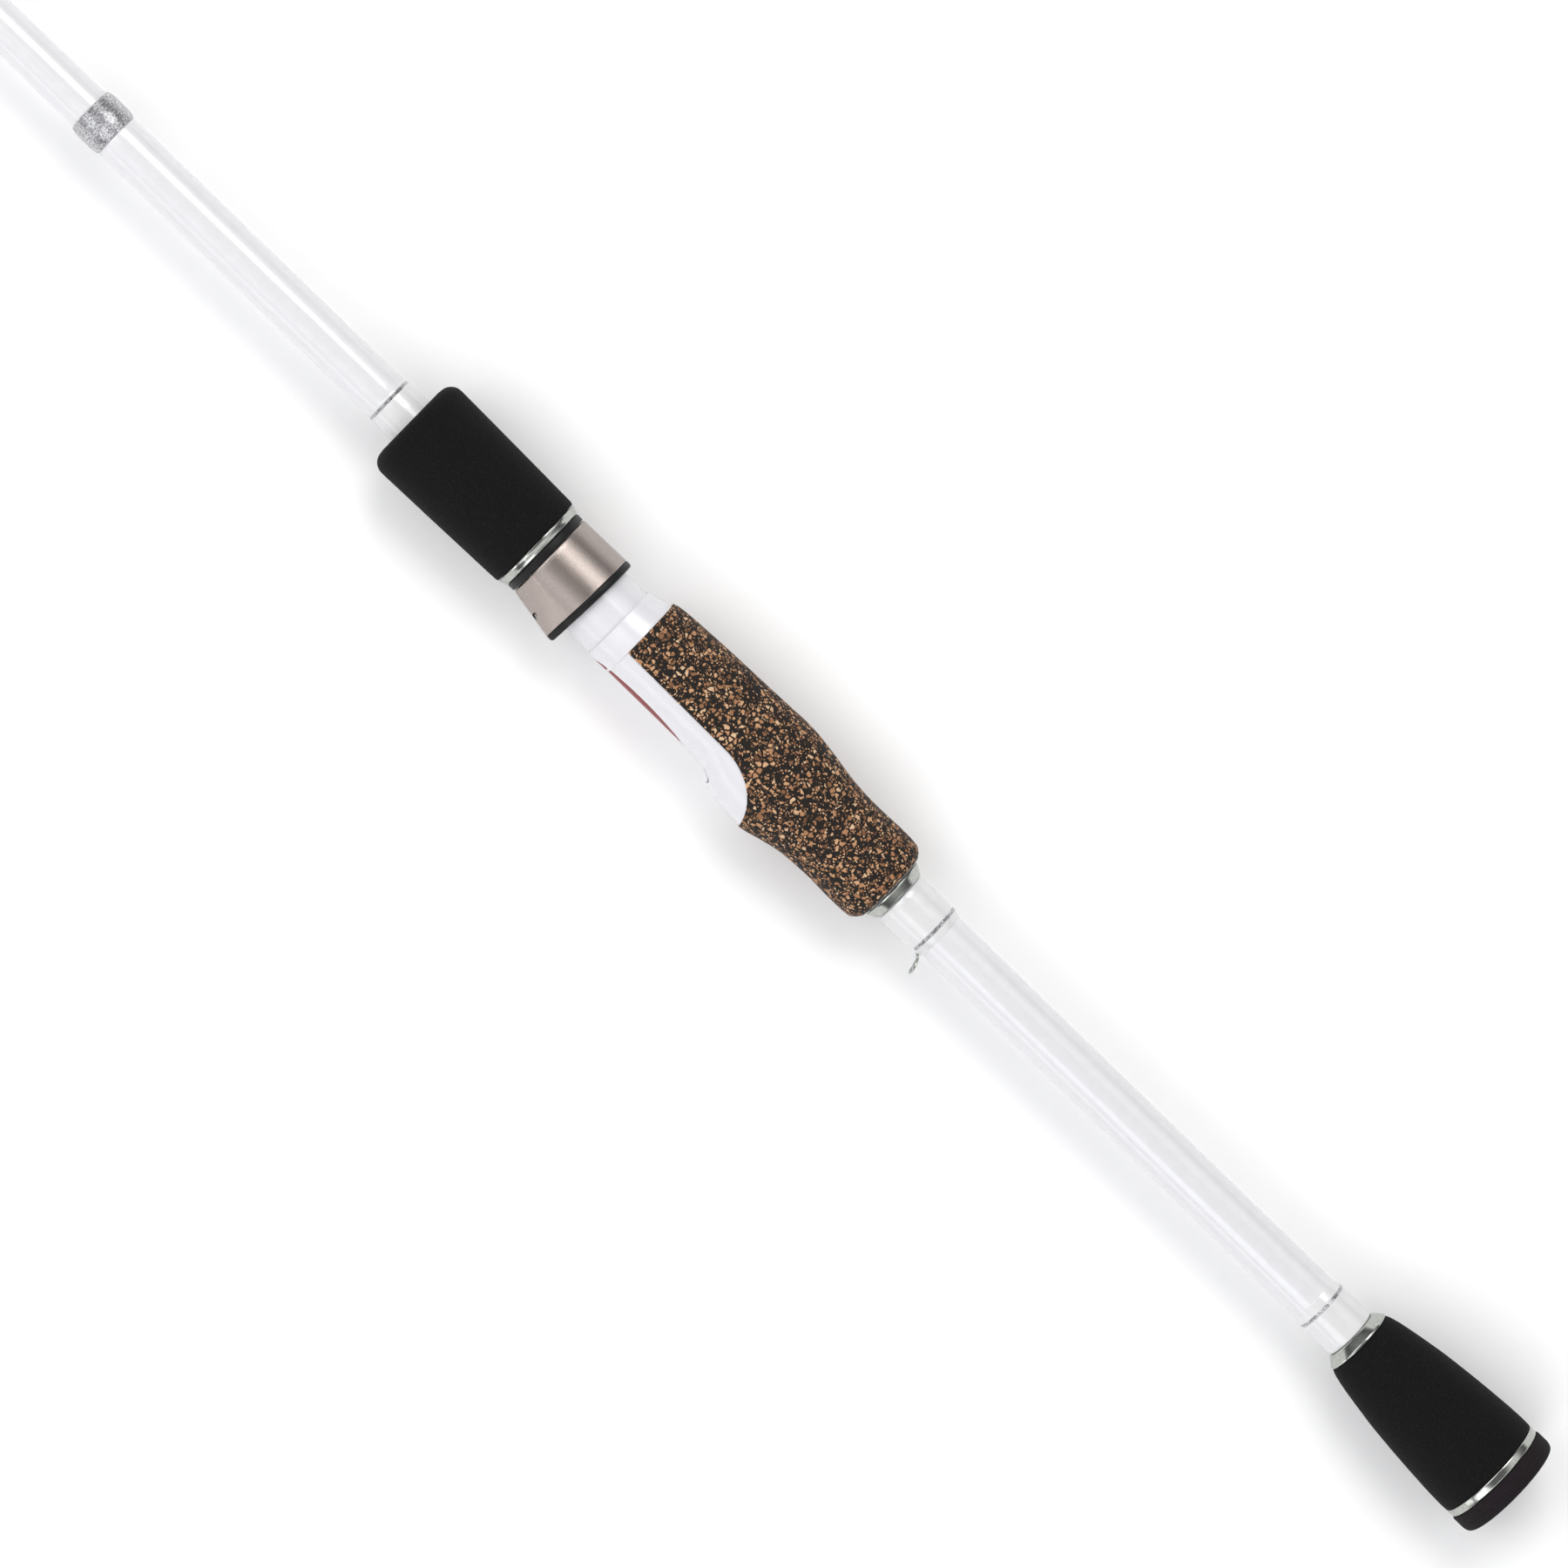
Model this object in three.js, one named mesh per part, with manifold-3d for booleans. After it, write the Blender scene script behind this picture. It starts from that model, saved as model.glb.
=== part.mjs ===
// A two-piece spinning rod, 2.134 m long, in millimetres.
// The rod's axis is X: the butt cap's flat end is at x = 0 and the tip points along +X.
// The reel seat, the hook keeper and the line guides face +Y, so the rod lies on its side, with +Z up.
import * as THREE from "three";
import { mergeVertices } from "three/addons/utils/BufferGeometryUtils.js";
import Module from "manifold-3d";

const wasm = await Module();
wasm.setup();

// ---- driving dimensions ----
const ROD_LENGTH = 2134;
const SIDES = 20; // facets round a turned part
const GUIDE_SIDES = 14; // facets round a guide ring
const FIT = 0.12; // radial gap between two turned parts, one inside the other
const GAP = 0.3; // gap between pieces that are cut to fit each other
const END_GAP = 0.1; // gap between two turned parts, end to end

// Blank: [x, outer radius]. The tip section slides over the butt section's end.
const BUTT_BLANK = [[5.2, 6.15], [190, 6.02], [460, 5.3], [1110, 3.55]];
const TIP_BLANK = [[1060, 4.3], [1112, 4.2], [2128, 0.8]];
const BLANK_WALL = 1.1;
const FERRULE_DEPTH = 50;

// Reel seat
const SEAT_REAR = 200.5;
const SEAT_STEP = 288.2; // where the grip collar meets the smooth neck
const NECK_END = 304;
const BARREL_END = 343;
const CORE_RADIUS = 9.0;
const NECK_RADIUS = 9.6;
const BARREL_RADIUS = 9.3;
const SEAT_BORE = 7.5;
const CORK_FRONT = 282;
const CORK_EDGE = 3.4; // y of the straight seam between cork and white shell
const SHELL_PROUD = 0.4; // how far the cork stands out of the white shell at the sides

// Sliding hood: the wide mouth faces the butt
const HOOD_FRONT = 310.2;
const HOOD_MOUTH = 297;
const LINER_END = 295.4;
const HOOD_WALL = 0.9;
const HOOD_BORE = 9.9;
const KEYWAY = { start: 290, end: 344, floor: 8.6, halfWidth: 0.9 }; // stops the hood from turning
const MOUTH_LEAN = 0.04; // mm of x for each mm of y, at the mouth

// Foregrip and the nut inside it
const FOREGRIP = [314.5, 354.4];
const FOREGRIP_POCKET_END = 349.4;
const NUT_BORE = 9.75;
const NUT_OUTER = 10.8;
const NUT_END = 340;
const FOREGRIP_BORE = 6.9;

// Guides from the butt to the tip: insert diameters, height of the ring's centre, wire radius
const GUIDES = [
  { x: 884, outer: 20, inner: 15, height: 27, wire: 0.7, feet: 2 },
  { x: 1160, outer: 12, inner: 8.6, height: 16.5, wire: 0.6, feet: 2 },
  { x: 1372, outer: 9, inner: 6.2, height: 11.5, wire: 0.5, feet: 1 },
  { x: 1546, outer: 7, inner: 4.6, height: 9, wire: 0.45, feet: 1 },
  { x: 1694, outer: 6, inner: 3.9, height: 7.6, wire: 0.4, feet: 1 },
  { x: 1822, outer: 6, inner: 3.9, height: 7.2, wire: 0.4, feet: 1 },
  { x: 1936, outer: 6, inner: 3.9, height: 6.9, wire: 0.4, feet: 1 },
  { x: 2040, outer: 6, inner: 3.9, height: 6.6, wire: 0.4, feet: 1 },
];

// ---- finishes ----
const finish = (color, roughness, metalness = 0) =>
  new THREE.MeshStandardMaterial({ color, roughness, metalness });
const WHITE_LACQUER = finish(0xf2f2f4, 0.25);
const SEAT_WHITE = finish(0xf0f0f2, 0.3);
const BLACK_FOAM = finish(0x151414, 0.9);
const RUBBER_CORK = finish(0x6e4a2c, 0.85);
const GUNMETAL = finish(0x8a7d74, 0.35, 0.9);
const POLISHED = finish(0xb8b8b6, 0.2, 1);
const SILVER_THREAD = finish(0xb4b6b8, 0.4, 0.8);
const BLACK_PLASTIC = finish(0x1a1a1c, 0.45);
const GREY_FOAM = finish(0x8c8c88, 0.9);
const GUIDE_WIRE = finish(0x9a9a9c, 0.25, 1);
const CERAMIC = finish(0x2a2b2e, 0.15, 0.2);

// ---- helpers ----
const rod = new THREE.Group();

function add(name, geometry, material) {
  const mesh = new THREE.Mesh(geometry, material);
  mesh.name = name;
  rod.add(mesh);
}

// Value at x of a table of [x, value] rows, straight between the rows.
function along(table, x) {
  const rows = [...table].sort((a, b) => a[0] - b[0]);
  if (x <= rows[0][0]) return rows[0][1];
  const next = rows.findIndex((row) => row[0] >= x);
  if (next < 0) return rows.at(-1)[1];
  const [[x0, v0], [x1, v1]] = [rows[next - 1], rows[next]];
  return THREE.MathUtils.mapLinear(x, x0, x1, v0, v1);
}

// A part turned about X from a closed outline of [x, radius] points.
function turned(outline, sides = SIDES) {
  const points = outline.map(([x, r]) => new THREE.Vector2(r, x));
  const area = THREE.ShapeUtils.area(points);
  if (area < 0) points.reverse();
  points.push(points[0].clone());
  return new THREE.LatheGeometry(points, sides).rotateZ(-Math.PI / 2);
}

// A turned part with a straight bore; its outside runs through [x, radius] points.
function sleeve(outside, bore, sides = SIDES) {
  const start = [outside[0][0], bore];
  const end = [outside.at(-1)[0], bore];
  return turned([start, ...outside, end], sides);
}

function ring(x0, x1, bore, outer, sides = SIDES) {
  return sleeve([[x0, outer], [x1, outer]], bore, sides);
}

// A solid part turned about X: its outside runs through [x, radius] points and both ends are closed.
function plug(outside, sides = SIDES) {
  const profile = [[outside[0][0], 0], ...outside, [outside.at(-1)[0], 0]];
  const points = profile.map(([x, r]) => new THREE.Vector2(r, x));
  return new THREE.LatheGeometry(points, sides).rotateZ(-Math.PI / 2);
}

function cylinder(x0, x1, radius, sides = SIDES) {
  return plug([[x0, radius], [x1, radius]], sides);
}

// A closed body along X with any section: radiusAt(angle from +Y, x) is its radius, and
// leanAt(x, y) shifts a point along X.
function lofted(stations, radiusAt, leanAt = () => 0, sides = SIDES) {
  const ends = [stations[0], stations.at(-1)];
  const profile = [
    new THREE.Vector2(0, ends[0]),
    ...stations.map((x) => new THREE.Vector2(1, x)),
    new THREE.Vector2(0, ends[1]),
  ];
  const geometry = new THREE.LatheGeometry(profile, sides).rotateZ(-Math.PI / 2);
  const position = geometry.getAttribute("position");
  for (let i = 0; i < position.count; i++) {
    const [x, y, z] = [position.getX(i), position.getY(i), position.getZ(i)];
    const reach = Math.hypot(y, z);
    const angle = Math.atan2(z, y);
    const radius = reach * radiusAt(angle, x);
    const newY = radius * Math.cos(angle);
    position.setXYZ(i, x + leanAt(x, newY), newY, radius * Math.sin(angle));
  }
  return geometry;
}

// A polygonal tube along a smooth curve through points.
function wireAlong(points, radius, steps) {
  const curve = new THREE.CatmullRomCurve3(points.map((p) => new THREE.Vector3(...p)));
  const corners = Array.from({ length: 6 }, (_, i) => {
    const angle = (i * Math.PI) / 3;
    return new THREE.Vector2(radius * Math.cos(angle), radius * Math.sin(angle));
  });
  return new THREE.ExtrudeGeometry(new THREE.Shape(corners), { extrudePath: curve, steps });
}

// A ring of round wire whose axis is X.
function hoop(x, y, radius, wire) {
  return new THREE.TorusGeometry(radius, wire, 6, GUIDE_SIDES)
    .rotateY(Math.PI / 2)
    .translate(x, y, 0);
}

// A box from its lowest to its highest corner.
function block(low, high) {
  const [dx, dy, dz] = high.map((value, i) => value - low[i]);
  const centre = high.map((value, i) => (value + low[i]) / 2);
  return new THREE.BoxGeometry(dx, dy, dz).translate(...centre);
}

// three.js geometry to a manifold-3d solid and back.
function solid(geometry) {
  const bare = geometry.clone();
  bare.deleteAttribute("normal");
  bare.deleteAttribute("uv");
  const merged = mergeVertices(bare, 1e-4);
  const vertProperties = merged.getAttribute("position").array;
  const triVerts = new Uint32Array(merged.index.array);
  return new wasm.Manifold(new wasm.Mesh({ numProp: 3, vertProperties, triVerts }));
}

function geometryOf(body) {
  const { numProp, vertProperties, triVerts } = body.getMesh();
  const position = new Float32Array((vertProperties.length / numProp) * 3);
  for (let i = 0; i < position.length / 3; i++)
    position.set(vertProperties.subarray(i * numProp, i * numProp + 3), i * 3);
  const geometry = new THREE.BufferGeometry();
  geometry.setAttribute("position", new THREE.BufferAttribute(position, 3));
  geometry.setIndex(new THREE.BufferAttribute(new Uint32Array(triVerts), 1));
  return geometry;
}

const blankRadius = (x) => along(x < 1060 ? BUTT_BLANK : TIP_BLANK, x);

// ---- blank ----
function blanks() {
  const boreOf = (table) => table.map(([x, r]) => [x, r - BLANK_WALL]).reverse();
  add("butt_section_blank", turned([...BUTT_BLANK, ...boreOf(BUTT_BLANK)]), WHITE_LACQUER);

  // The tip section's socket slides over the butt section's end. Past it the bore narrows.
  const [mouth, depth] = [1060, 1060 + FERRULE_DEPTH + 2];
  const socketWall = [[mouth, along(TIP_BLANK, mouth)], [depth, along(TIP_BLANK, depth)]];
  const socketBore = [depth, mouth].map((x) => [x, along(BUTT_BLANK, x) + FIT]);
  add("ferrule_socket", turned([...socketWall, ...socketBore]), WHITE_LACQUER);

  const start = depth + END_GAP;
  const narrowing = start + 600;
  const tipBore = [[2128, 0.3], [narrowing, 0.3], [narrowing, 0.8], [start, along(BUTT_BLANK, 1110)]];
  const tipWall = [[start, along(TIP_BLANK, start)], TIP_BLANK.at(-1)];
  add("tip_section_blank", turned([...tipWall, ...tipBore]), WHITE_LACQUER);

  const overwrap = [[1060, 4.6], [1061, 4.75], [1082, 4.7], [1086, 4.4]];
  add("ferrule_wrap", sleeve(overwrap, 4.3 + FIT), WHITE_LACQUER);
}

// ---- butt grip ----
function buttGrip() {
  const bore = 6.15 + FIT;
  const spigot = 6.15 - BLANK_WALL - FIT;
  const cap = [
    [0, 11.6], [0.5, 12.9], [1.6, 13.7], [3.2, 14.0], [5, 13.95], [5, spigot], [15, spigot - 0.3],
  ];
  add("butt_cap", plug(cap), BLACK_FOAM);
  add("butt_trim_ring", ring(5.1, 6.9, bore, 13.7), POLISHED);
  const grip = [
    [7, 13.75], [12, 13.7], [19, 13.25], [28, 12.35], [39, 10.9], [46, 9.5], [49, 8.8], [49.2, 8.5],
  ];
  add("butt_grip", sleeve(grip, bore), BLACK_FOAM);
  add("butt_grip_check", sleeve([[49.3, 8.5], [52, 7]], bore), POLISHED);
}

// A thread wrap with a metallic trim band let into it near one end.
function wrapWithBand(wrapName, bandName, outside, bore, bandAt, bandDepth) {
  const [start, end] = bandAt;
  const radius = along(outside, start);
  const before = outside.filter(([x]) => x < start);
  const after = outside.filter(([x]) => x > end);
  const floor = radius - bandDepth;
  const groove = [[start, radius], [start, floor], [end, floor], [end, radius]];
  add(wrapName, sleeve([...before, ...groove, ...after], bore), WHITE_LACQUER);
  const band = ring(start + END_GAP / 2, end - END_GAP / 2, floor + 0.06, radius + 0.05);
  add(bandName, band, SILVER_THREAD);
}

function wraps() {
  const rear = [[52.1, 6.75], [61, 6.6], [62.4, 6.5], [64, 6.3]];
  wrapWithBand("rear_trim_wrap", "rear_trim_band", rear, 6.15 + FIT * 0.5, [61.1, 62], 0.2);

  add("fore_trim_wrap", sleeve([[344, 6.35], [356, 6.3], [360.9, 5.95]], 5.72), WHITE_LACQUER);
  add("fore_trim_band", ring(361, 361.8, 5.7, 6.0), SILVER_THREAD);
  const label = [[361.9, 5.95], [364, 5.85], [446, 5.75], [447.9, 5.9]];
  add("butt_wrap", sleeve(label, 5.65), WHITE_LACQUER);
  const foil = [[448, 5.95], [450, 6.2], [452.5, 6.28], [455, 6.15], [456.8, 5.8]];
  add("silver_band", sleeve(foil, 5.45), SILVER_THREAD);
}

// ---- hook keeper ----
function hookKeeper() {
  const bore = 6.02 + FIT;
  const foot = { x0: 184, x1: 196, y0: 6.25, y1: 6.7, halfWidth: 0.6 };
  const loop = { x: 184, wire: 0.45, radius: 2, top: 11.4 };
  const centre = loop.top - loop.radius - loop.wire;
  const strap = block(
    [foot.x0 - loop.wire * 0.7, foot.y0, -foot.halfWidth],
    [foot.x1, foot.y1, foot.halfWidth],
  );
  const stem = block(
    [loop.x - 0.35, foot.y0, -foot.halfWidth],
    [loop.x + 0.35, centre - loop.radius + 0.1, foot.halfWidth],
  );
  const wireRing = solid(hoop(loop.x, centre, loop.radius, loop.wire));
  add("hook_keeper", geometryOf(wireRing.add(solid(strap)).add(solid(stem))), POLISHED);

  const outside = [[184.8, 6.75], [185.8, 6.95], [186.6, 7.05], [187.4, 7.05], [197.6, 6.95]];
  const slot = block(
    [180, 5, -foot.halfWidth - GAP * 0.5],
    [foot.x1 + GAP, foot.y1 + 0.1, foot.halfWidth + GAP * 0.5],
  );
  const groove = { start: 186.6, end: 187.4, floor: 6.9 };
  const cut = solid(ring(groove.start, groove.end, groove.floor, 8));
  const wrap = solid(sleeve(outside, bore)).subtract(solid(slot)).subtract(cut);
  add("keeper_wrap", geometryOf(wrap), WHITE_LACQUER);
  const band = ring(groove.start + 0.06, groove.end - 0.06, groove.floor + 0.06, 7.12);
  add("keeper_trim_band", band, SILVER_THREAD);
}

// ---- reel seat ----
// Outer surface of the cork grip: radius away from the reel, at the sides, and towards the reel.
const BACK_OF_GRIP = [
  [200.5, 8.3], [201.3, 10], [203.6, 11.4], [217, 11.4], [222, 11.65], [226, 12.15],
  [230, 12.9], [234, 13.6], [238, 13.95], [246, 13.9], [260, 13.5], [272, 13.05], [282, 12.4],
];
const SIDE_OF_GRIP = [
  [200.5, 8.3], [201.3, 10], [203.6, 11.4], [217, 11.2], [226, 11.5], [236, 12.2],
  [246, 12.3], [260, 12.1], [272, 11.8], [282, 11.5],
];
const REEL_SIDE_OF_GRIP = [
  [200.5, 8.3], [201.3, 10], [203.6, 11.45], [212.6, 11.3], [222.6, 11.7], [227.6, 12.4],
  [232.6, 13.5], [235.8, 14.35], [242, 13.75], [246, 13.2], [252, 12.2], [282, 10.6],
];
// Outer surface of the white shell on the reel's side, with the fixed hood's hump.
const SHELL_CREST = [[232, 14.3], [236, 14.3], [242, 13.7], [245.4, 13.1], [252.4, 10.9], [288.2, 10.9]];
const FOOT_FLAT = 10.4; // y of the flat where a reel foot stands

const gripStations = BACK_OF_GRIP.map(([x]) => x);

function ovalRadius(angle, back, side, front) {
  const reach = Math.cos(angle) > 0 ? front : back;
  return 1 / Math.hypot(Math.cos(angle) / reach, Math.sin(angle) / side);
}

// The shell's outline seen from the side: a straight seam, then a curve down to the fixed hood's end.
function shellRegion(offset) {
  const outline = new THREE.Shape();
  outline.moveTo(CORK_FRONT + 30, CORK_EDGE - offset);
  outline.lineTo(250, CORK_EDGE + 0.3 - offset);
  outline.bezierCurveTo(242, 4.6 - offset, 237 - offset, 9.5, 235.4 - offset, 16);
  outline.lineTo(CORK_FRONT + 30, 16);
  outline.closePath();
  const depth = 40;
  const plate = new THREE.ExtrudeGeometry(outline, { depth, bevelEnabled: false, curveSegments: 6 });
  return solid(plate.translate(0, 0, -depth / 2));
}

function seatCork() {
  const radiusAt = (angle, x) =>
    ovalRadius(angle, along(BACK_OF_GRIP, x), along(SIDE_OF_GRIP, x), along(REEL_SIDE_OF_GRIP, x));
  const body = solid(lofted(gripStations, radiusAt));
  const core = solid(cylinder(190, 300, CORE_RADIUS + FIT));
  add("seat_cork_grip", geometryOf(body.subtract(shellRegion(GAP)).subtract(core)), RUBBER_CORK);
}

function reelSeat() {
  const crest = (x) => along(SHELL_CREST, x);
  const shellAt = (angle, x) =>
    ovalRadius(angle, CORE_RADIUS, along(SIDE_OF_GRIP, x) - SHELL_PROUD, crest(x));
  const stations = [231, 236, 242, 245.4, 252.4, 266, CORK_FRONT + GAP];
  const shell = solid(lofted(stations, shellAt)).intersect(shellRegion(0));

  const collarAt = (angle, x) => {
    const back = along([[CORK_FRONT, 10.7], [SEAT_STEP, 10]], x);
    const side = along([[CORK_FRONT, 11.1], [SEAT_STEP, 10]], x);
    return ovalRadius(angle, back, side, crest(x));
  };
  const collar = solid(lofted([CORK_FRONT + GAP * 0.9, 285, SEAT_STEP], collarAt));

  const tube = solid(
    turned([
      [SEAT_REAR + 0.2, 7.6], [SEAT_REAR + 0.2, CORE_RADIUS - 1], [SEAT_REAR + 1.4, CORE_RADIUS],
      [SEAT_STEP - 2, CORE_RADIUS], [SEAT_STEP - 2, NECK_RADIUS], [NECK_END, NECK_RADIUS],
      [NECK_END + 0.4, BARREL_RADIUS], [BARREL_END - 0.6, BARREL_RADIUS],
      [BARREL_END, BARREL_RADIUS - 0.5], [BARREL_END, 7.6],
    ]),
  );

  // A narrow flat along the crest, where a reel's foot stands.
  const flat = solid(block([252.2, FOOT_FLAT, -6], [CORK_FRONT + 12, 12, 6]));
  // The fixed hood's pocket, open towards the tip.
  const pocketAt = (angle) => ovalRadius(angle, 4, 8.2, 12.4);
  const pocket = solid(lofted([238.5, 253.5], pocketAt)).subtract(solid(cylinder(230, 260, 10.1)));
  const inside = solid(cylinder(190, 350, SEAT_BORE));
  const { start, end, floor, halfWidth } = KEYWAY;
  const keyway = solid(block([start, -12, -halfWidth], [end, -floor, halfWidth]));
  const cuts = flat.add(pocket).add(inside).add(keyway);
  const seat = tube.add(shell).add(collar).subtract(cuts);
  add("reel_seat_body", geometryOf(largest(seat)), SEAT_WHITE);

  const check = sleeve([[197.8, 7], [200.3, 8.2]], 6.02 + FIT);
  add("seat_rear_check", check, POLISHED);

  const arbors = { rear: [206, 222], middle: [258, 274], front: [322, 338] };
  for (const [place, [x0, x1]] of Object.entries(arbors)) {
    const bore = blankRadius(x0) + FIT;
    add(`seat_arbor_${place}`, ring(x0, x1, bore, SEAT_BORE - FIT), GREY_FOAM);
  }
}

function largest(body) {
  return body.decompose().reduce((a, b) => (b.volume() > a.volume() ? b : a));
}

// ---- sliding hood ----
const HOOD_BACK = [[HOOD_MOUTH, 11.75], [HOOD_FRONT, 11.4]];
const HOOD_HUMP = [[HOOD_MOUTH, 2.25], [HOOD_FRONT, 0.15]];
const HUMP_HALF_ANGLE = THREE.MathUtils.degToRad(62);

function hoodRadius(angle, x, inset) {
  const share = Math.min(1, Math.abs(angle) / HUMP_HALF_ANGLE);
  const hump = along(HOOD_HUMP, x) * (1 - share ** 3) ** 2;
  return along(HOOD_BACK, x) + hump - inset;
}

const hoodLean = (x, y) => {
  const share = THREE.MathUtils.clamp((HOOD_FRONT - x) / (HOOD_FRONT - HOOD_MOUTH), 0, 1);
  return share * MOUTH_LEAN * y;
};

function hoodBody(stations, inset) {
  return solid(lofted(stations, (angle, x) => hoodRadius(angle, x, inset), hoodLean, 28));
}

function slidingHood() {
  const bore = solid(cylinder(280, 330, HOOD_BORE, 28));
  const outside = hoodBody([HOOD_MOUTH, HOOD_FRONT], 0);
  const inside = hoodBody([HOOD_MOUTH - 0.2, HOOD_MOUTH, HOOD_FRONT - HOOD_WALL], HOOD_WALL);
  const tabHole = solid(block([300.4, 10, -1.1], [302.4, 20, 1.1]));
  const shell = outside.subtract(inside).subtract(tabHole).subtract(bore);
  add("hood_shell", geometryOf(shell), GUNMETAL);

  // The liner fills the shell. It has a lip at the mouth, the pocket for a reel foot, a key that runs in
  // the barrel's keyway, and a snap tab in the shell's window.
  const fill = hoodBody([HOOD_MOUTH - 0.2, HOOD_MOUTH, HOOD_FRONT - HOOD_WALL - FIT], HOOD_WALL + FIT);
  const lip = hoodBody([LINER_END, LINER_END + 0.7, HOOD_MOUTH - 0.1], 0.05);
  const tab = solid(block([300.6, 10.5, -0.9], [302.2, 12.9, 0.9]));
  const pocketAt = (angle, x) => (Math.abs(angle) < 0.7 ? hoodRadius(angle, x, 1.7) : 8);
  const pocket = solid(lofted([290, 297, 306], pocketAt, hoodLean, 28));
  const keyHalf = KEYWAY.halfWidth - GAP;
  const key = solid(block([298, -HOOD_BORE - 0.4, -keyHalf], [307, -KEYWAY.floor - GAP, keyHalf]));
  const liner = fill.add(lip).add(tab).subtract(pocket).subtract(bore).add(key);
  add("hood_liner", geometryOf(largest(liner)), BLACK_PLASTIC);
}

// ---- foregrip ----
function foregrip() {
  const [rear, front] = FOREGRIP;
  add("nut_collar", ring(HOOD_FRONT + 0.15, 312.4, HOOD_BORE, 11.35), BLACK_PLASTIC);
  add("foregrip_check", sleeve([[312.5, 11.6], [314.4, 12.1]], HOOD_BORE), POLISHED);
  add("lock_nut", ring(rear + 0.1, NUT_END, NUT_BORE, NUT_OUTER), BLACK_PLASTIC);
  const outline = [
    [rear, NUT_OUTER + FIT], [rear, 12.35], [322, 12.55], [338, 12.95], [346, 13.15], [350.6, 13.15],
    [352.6, 12.6], [353.9, 11.4], [front, 9.8], [front, FOREGRIP_BORE],
    [FOREGRIP_POCKET_END, FOREGRIP_BORE], [FOREGRIP_POCKET_END, NUT_OUTER + FIT],
  ];
  add("foregrip", turned(outline), BLACK_FOAM);
}

// ---- line guides ----
const FOOT = { length: 13, thick: 0.5, halfWidth: 0.75 };

// One foot, from the ring's sides down to the blank, lying along it: way is +1 towards the tip
// and -1 towards the butt.
function guideLeg(guide, way) {
  const { x, outer, height, wire } = guide;
  const hoopRadius = outer / 2 + wire;
  const clear = Math.max(4, (height - hoopRadius) * 0.7);
  const footStart = x + way * clear;
  const top = blankRadius(footStart) + FIT + FOOT.thick;
  const legs = [1, -1].map((side) => {
    const z = side * hoopRadius;
    const bottom = top - FOOT.thick + wire * 0.9;
    const points = [
      [x, height, z],
      [x + way * clear * 0.2, height * 0.55 + bottom * 0.45, z * 0.72],
      [x + way * clear * 0.75, bottom + 1, side * 0.9],
      [footStart + way * 1.5, bottom, side * 0.35],
    ];
    return solid(wireAlong(points, wire * 0.85, 5));
  });
  const ends = [footStart, footStart + way * FOOT.length].sort((a, b) => a - b);
  const strap = block(
    [ends[0], top - FOOT.thick, -FOOT.halfWidth],
    [ends[1], top, FOOT.halfWidth],
  );
  return { body: legs[0].add(legs[1]).add(solid(strap)), footStart, top };
}

// The thread wrap over a foot, with a channel for the foot.
function footWrap(name, footStart, way, top) {
  const [start, end] = [footStart + way * 3.2, footStart + way * (FOOT.length + 2.5)];
  const [x0, x1] = [start, end].sort((a, b) => a - b);
  const bore = blankRadius(x0) + FIT * 0.5;
  const outside = [[start, top + 0.3], [end - way * 2, top + 0.3], [end, top - 0.2]];
  if (way < 0) outside.reverse();
  const [from, to] = [footStart - way * 5, footStart + way * (FOOT.length + GAP)].sort((a, b) => a - b);
  const channel = block(
    [from, 0, -FOOT.halfWidth - GAP * 0.5],
    [to, top + 0.12, FOOT.halfWidth + GAP * 0.5],
  );
  const body = solid(sleeve(outside, bore)).subtract(solid(channel));
  add(name, geometryOf(largest(body)), WHITE_LACQUER);
}

function lineGuide(guide, number) {
  const { x, outer, inner, height, wire, feet } = guide;
  let frame = solid(hoop(x, height, outer / 2 + wire, wire));
  const ways = feet === 2 ? [1, -1] : [1];
  for (const way of ways) {
    const leg = guideLeg(guide, way);
    frame = frame.add(leg.body);
    const place = way > 0 ? "front" : "rear";
    footWrap(`guide_${number}_${place}_wrap`, leg.footStart, way, leg.top);
  }
  const seatHole = cylinder(x - 2 * wire, x + 2 * wire, outer / 2 + FIT, GUIDE_SIDES);
  const hole = solid(seatHole.translate(0, height, 0));
  add(`guide_${number}_frame`, geometryOf(largest(frame.subtract(hole))), GUIDE_WIRE);
  add(`guide_${number}_ring`, insertRing(x, height, outer / 2, inner / 2), CERAMIC);
}

// A ceramic insert with a rounded bore.
function insertRing(x, y, outer, inner) {
  const half = Math.max(0.8, (outer - inner) * 0.45);
  const middle = (outer + inner) / 2;
  const outline = [
    [-half, outer - FIT], [half, outer - FIT], [half, middle], [0, inner], [-half, middle],
  ];
  return turned(outline, GUIDE_SIDES).translate(x, y, 0);
}

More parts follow.
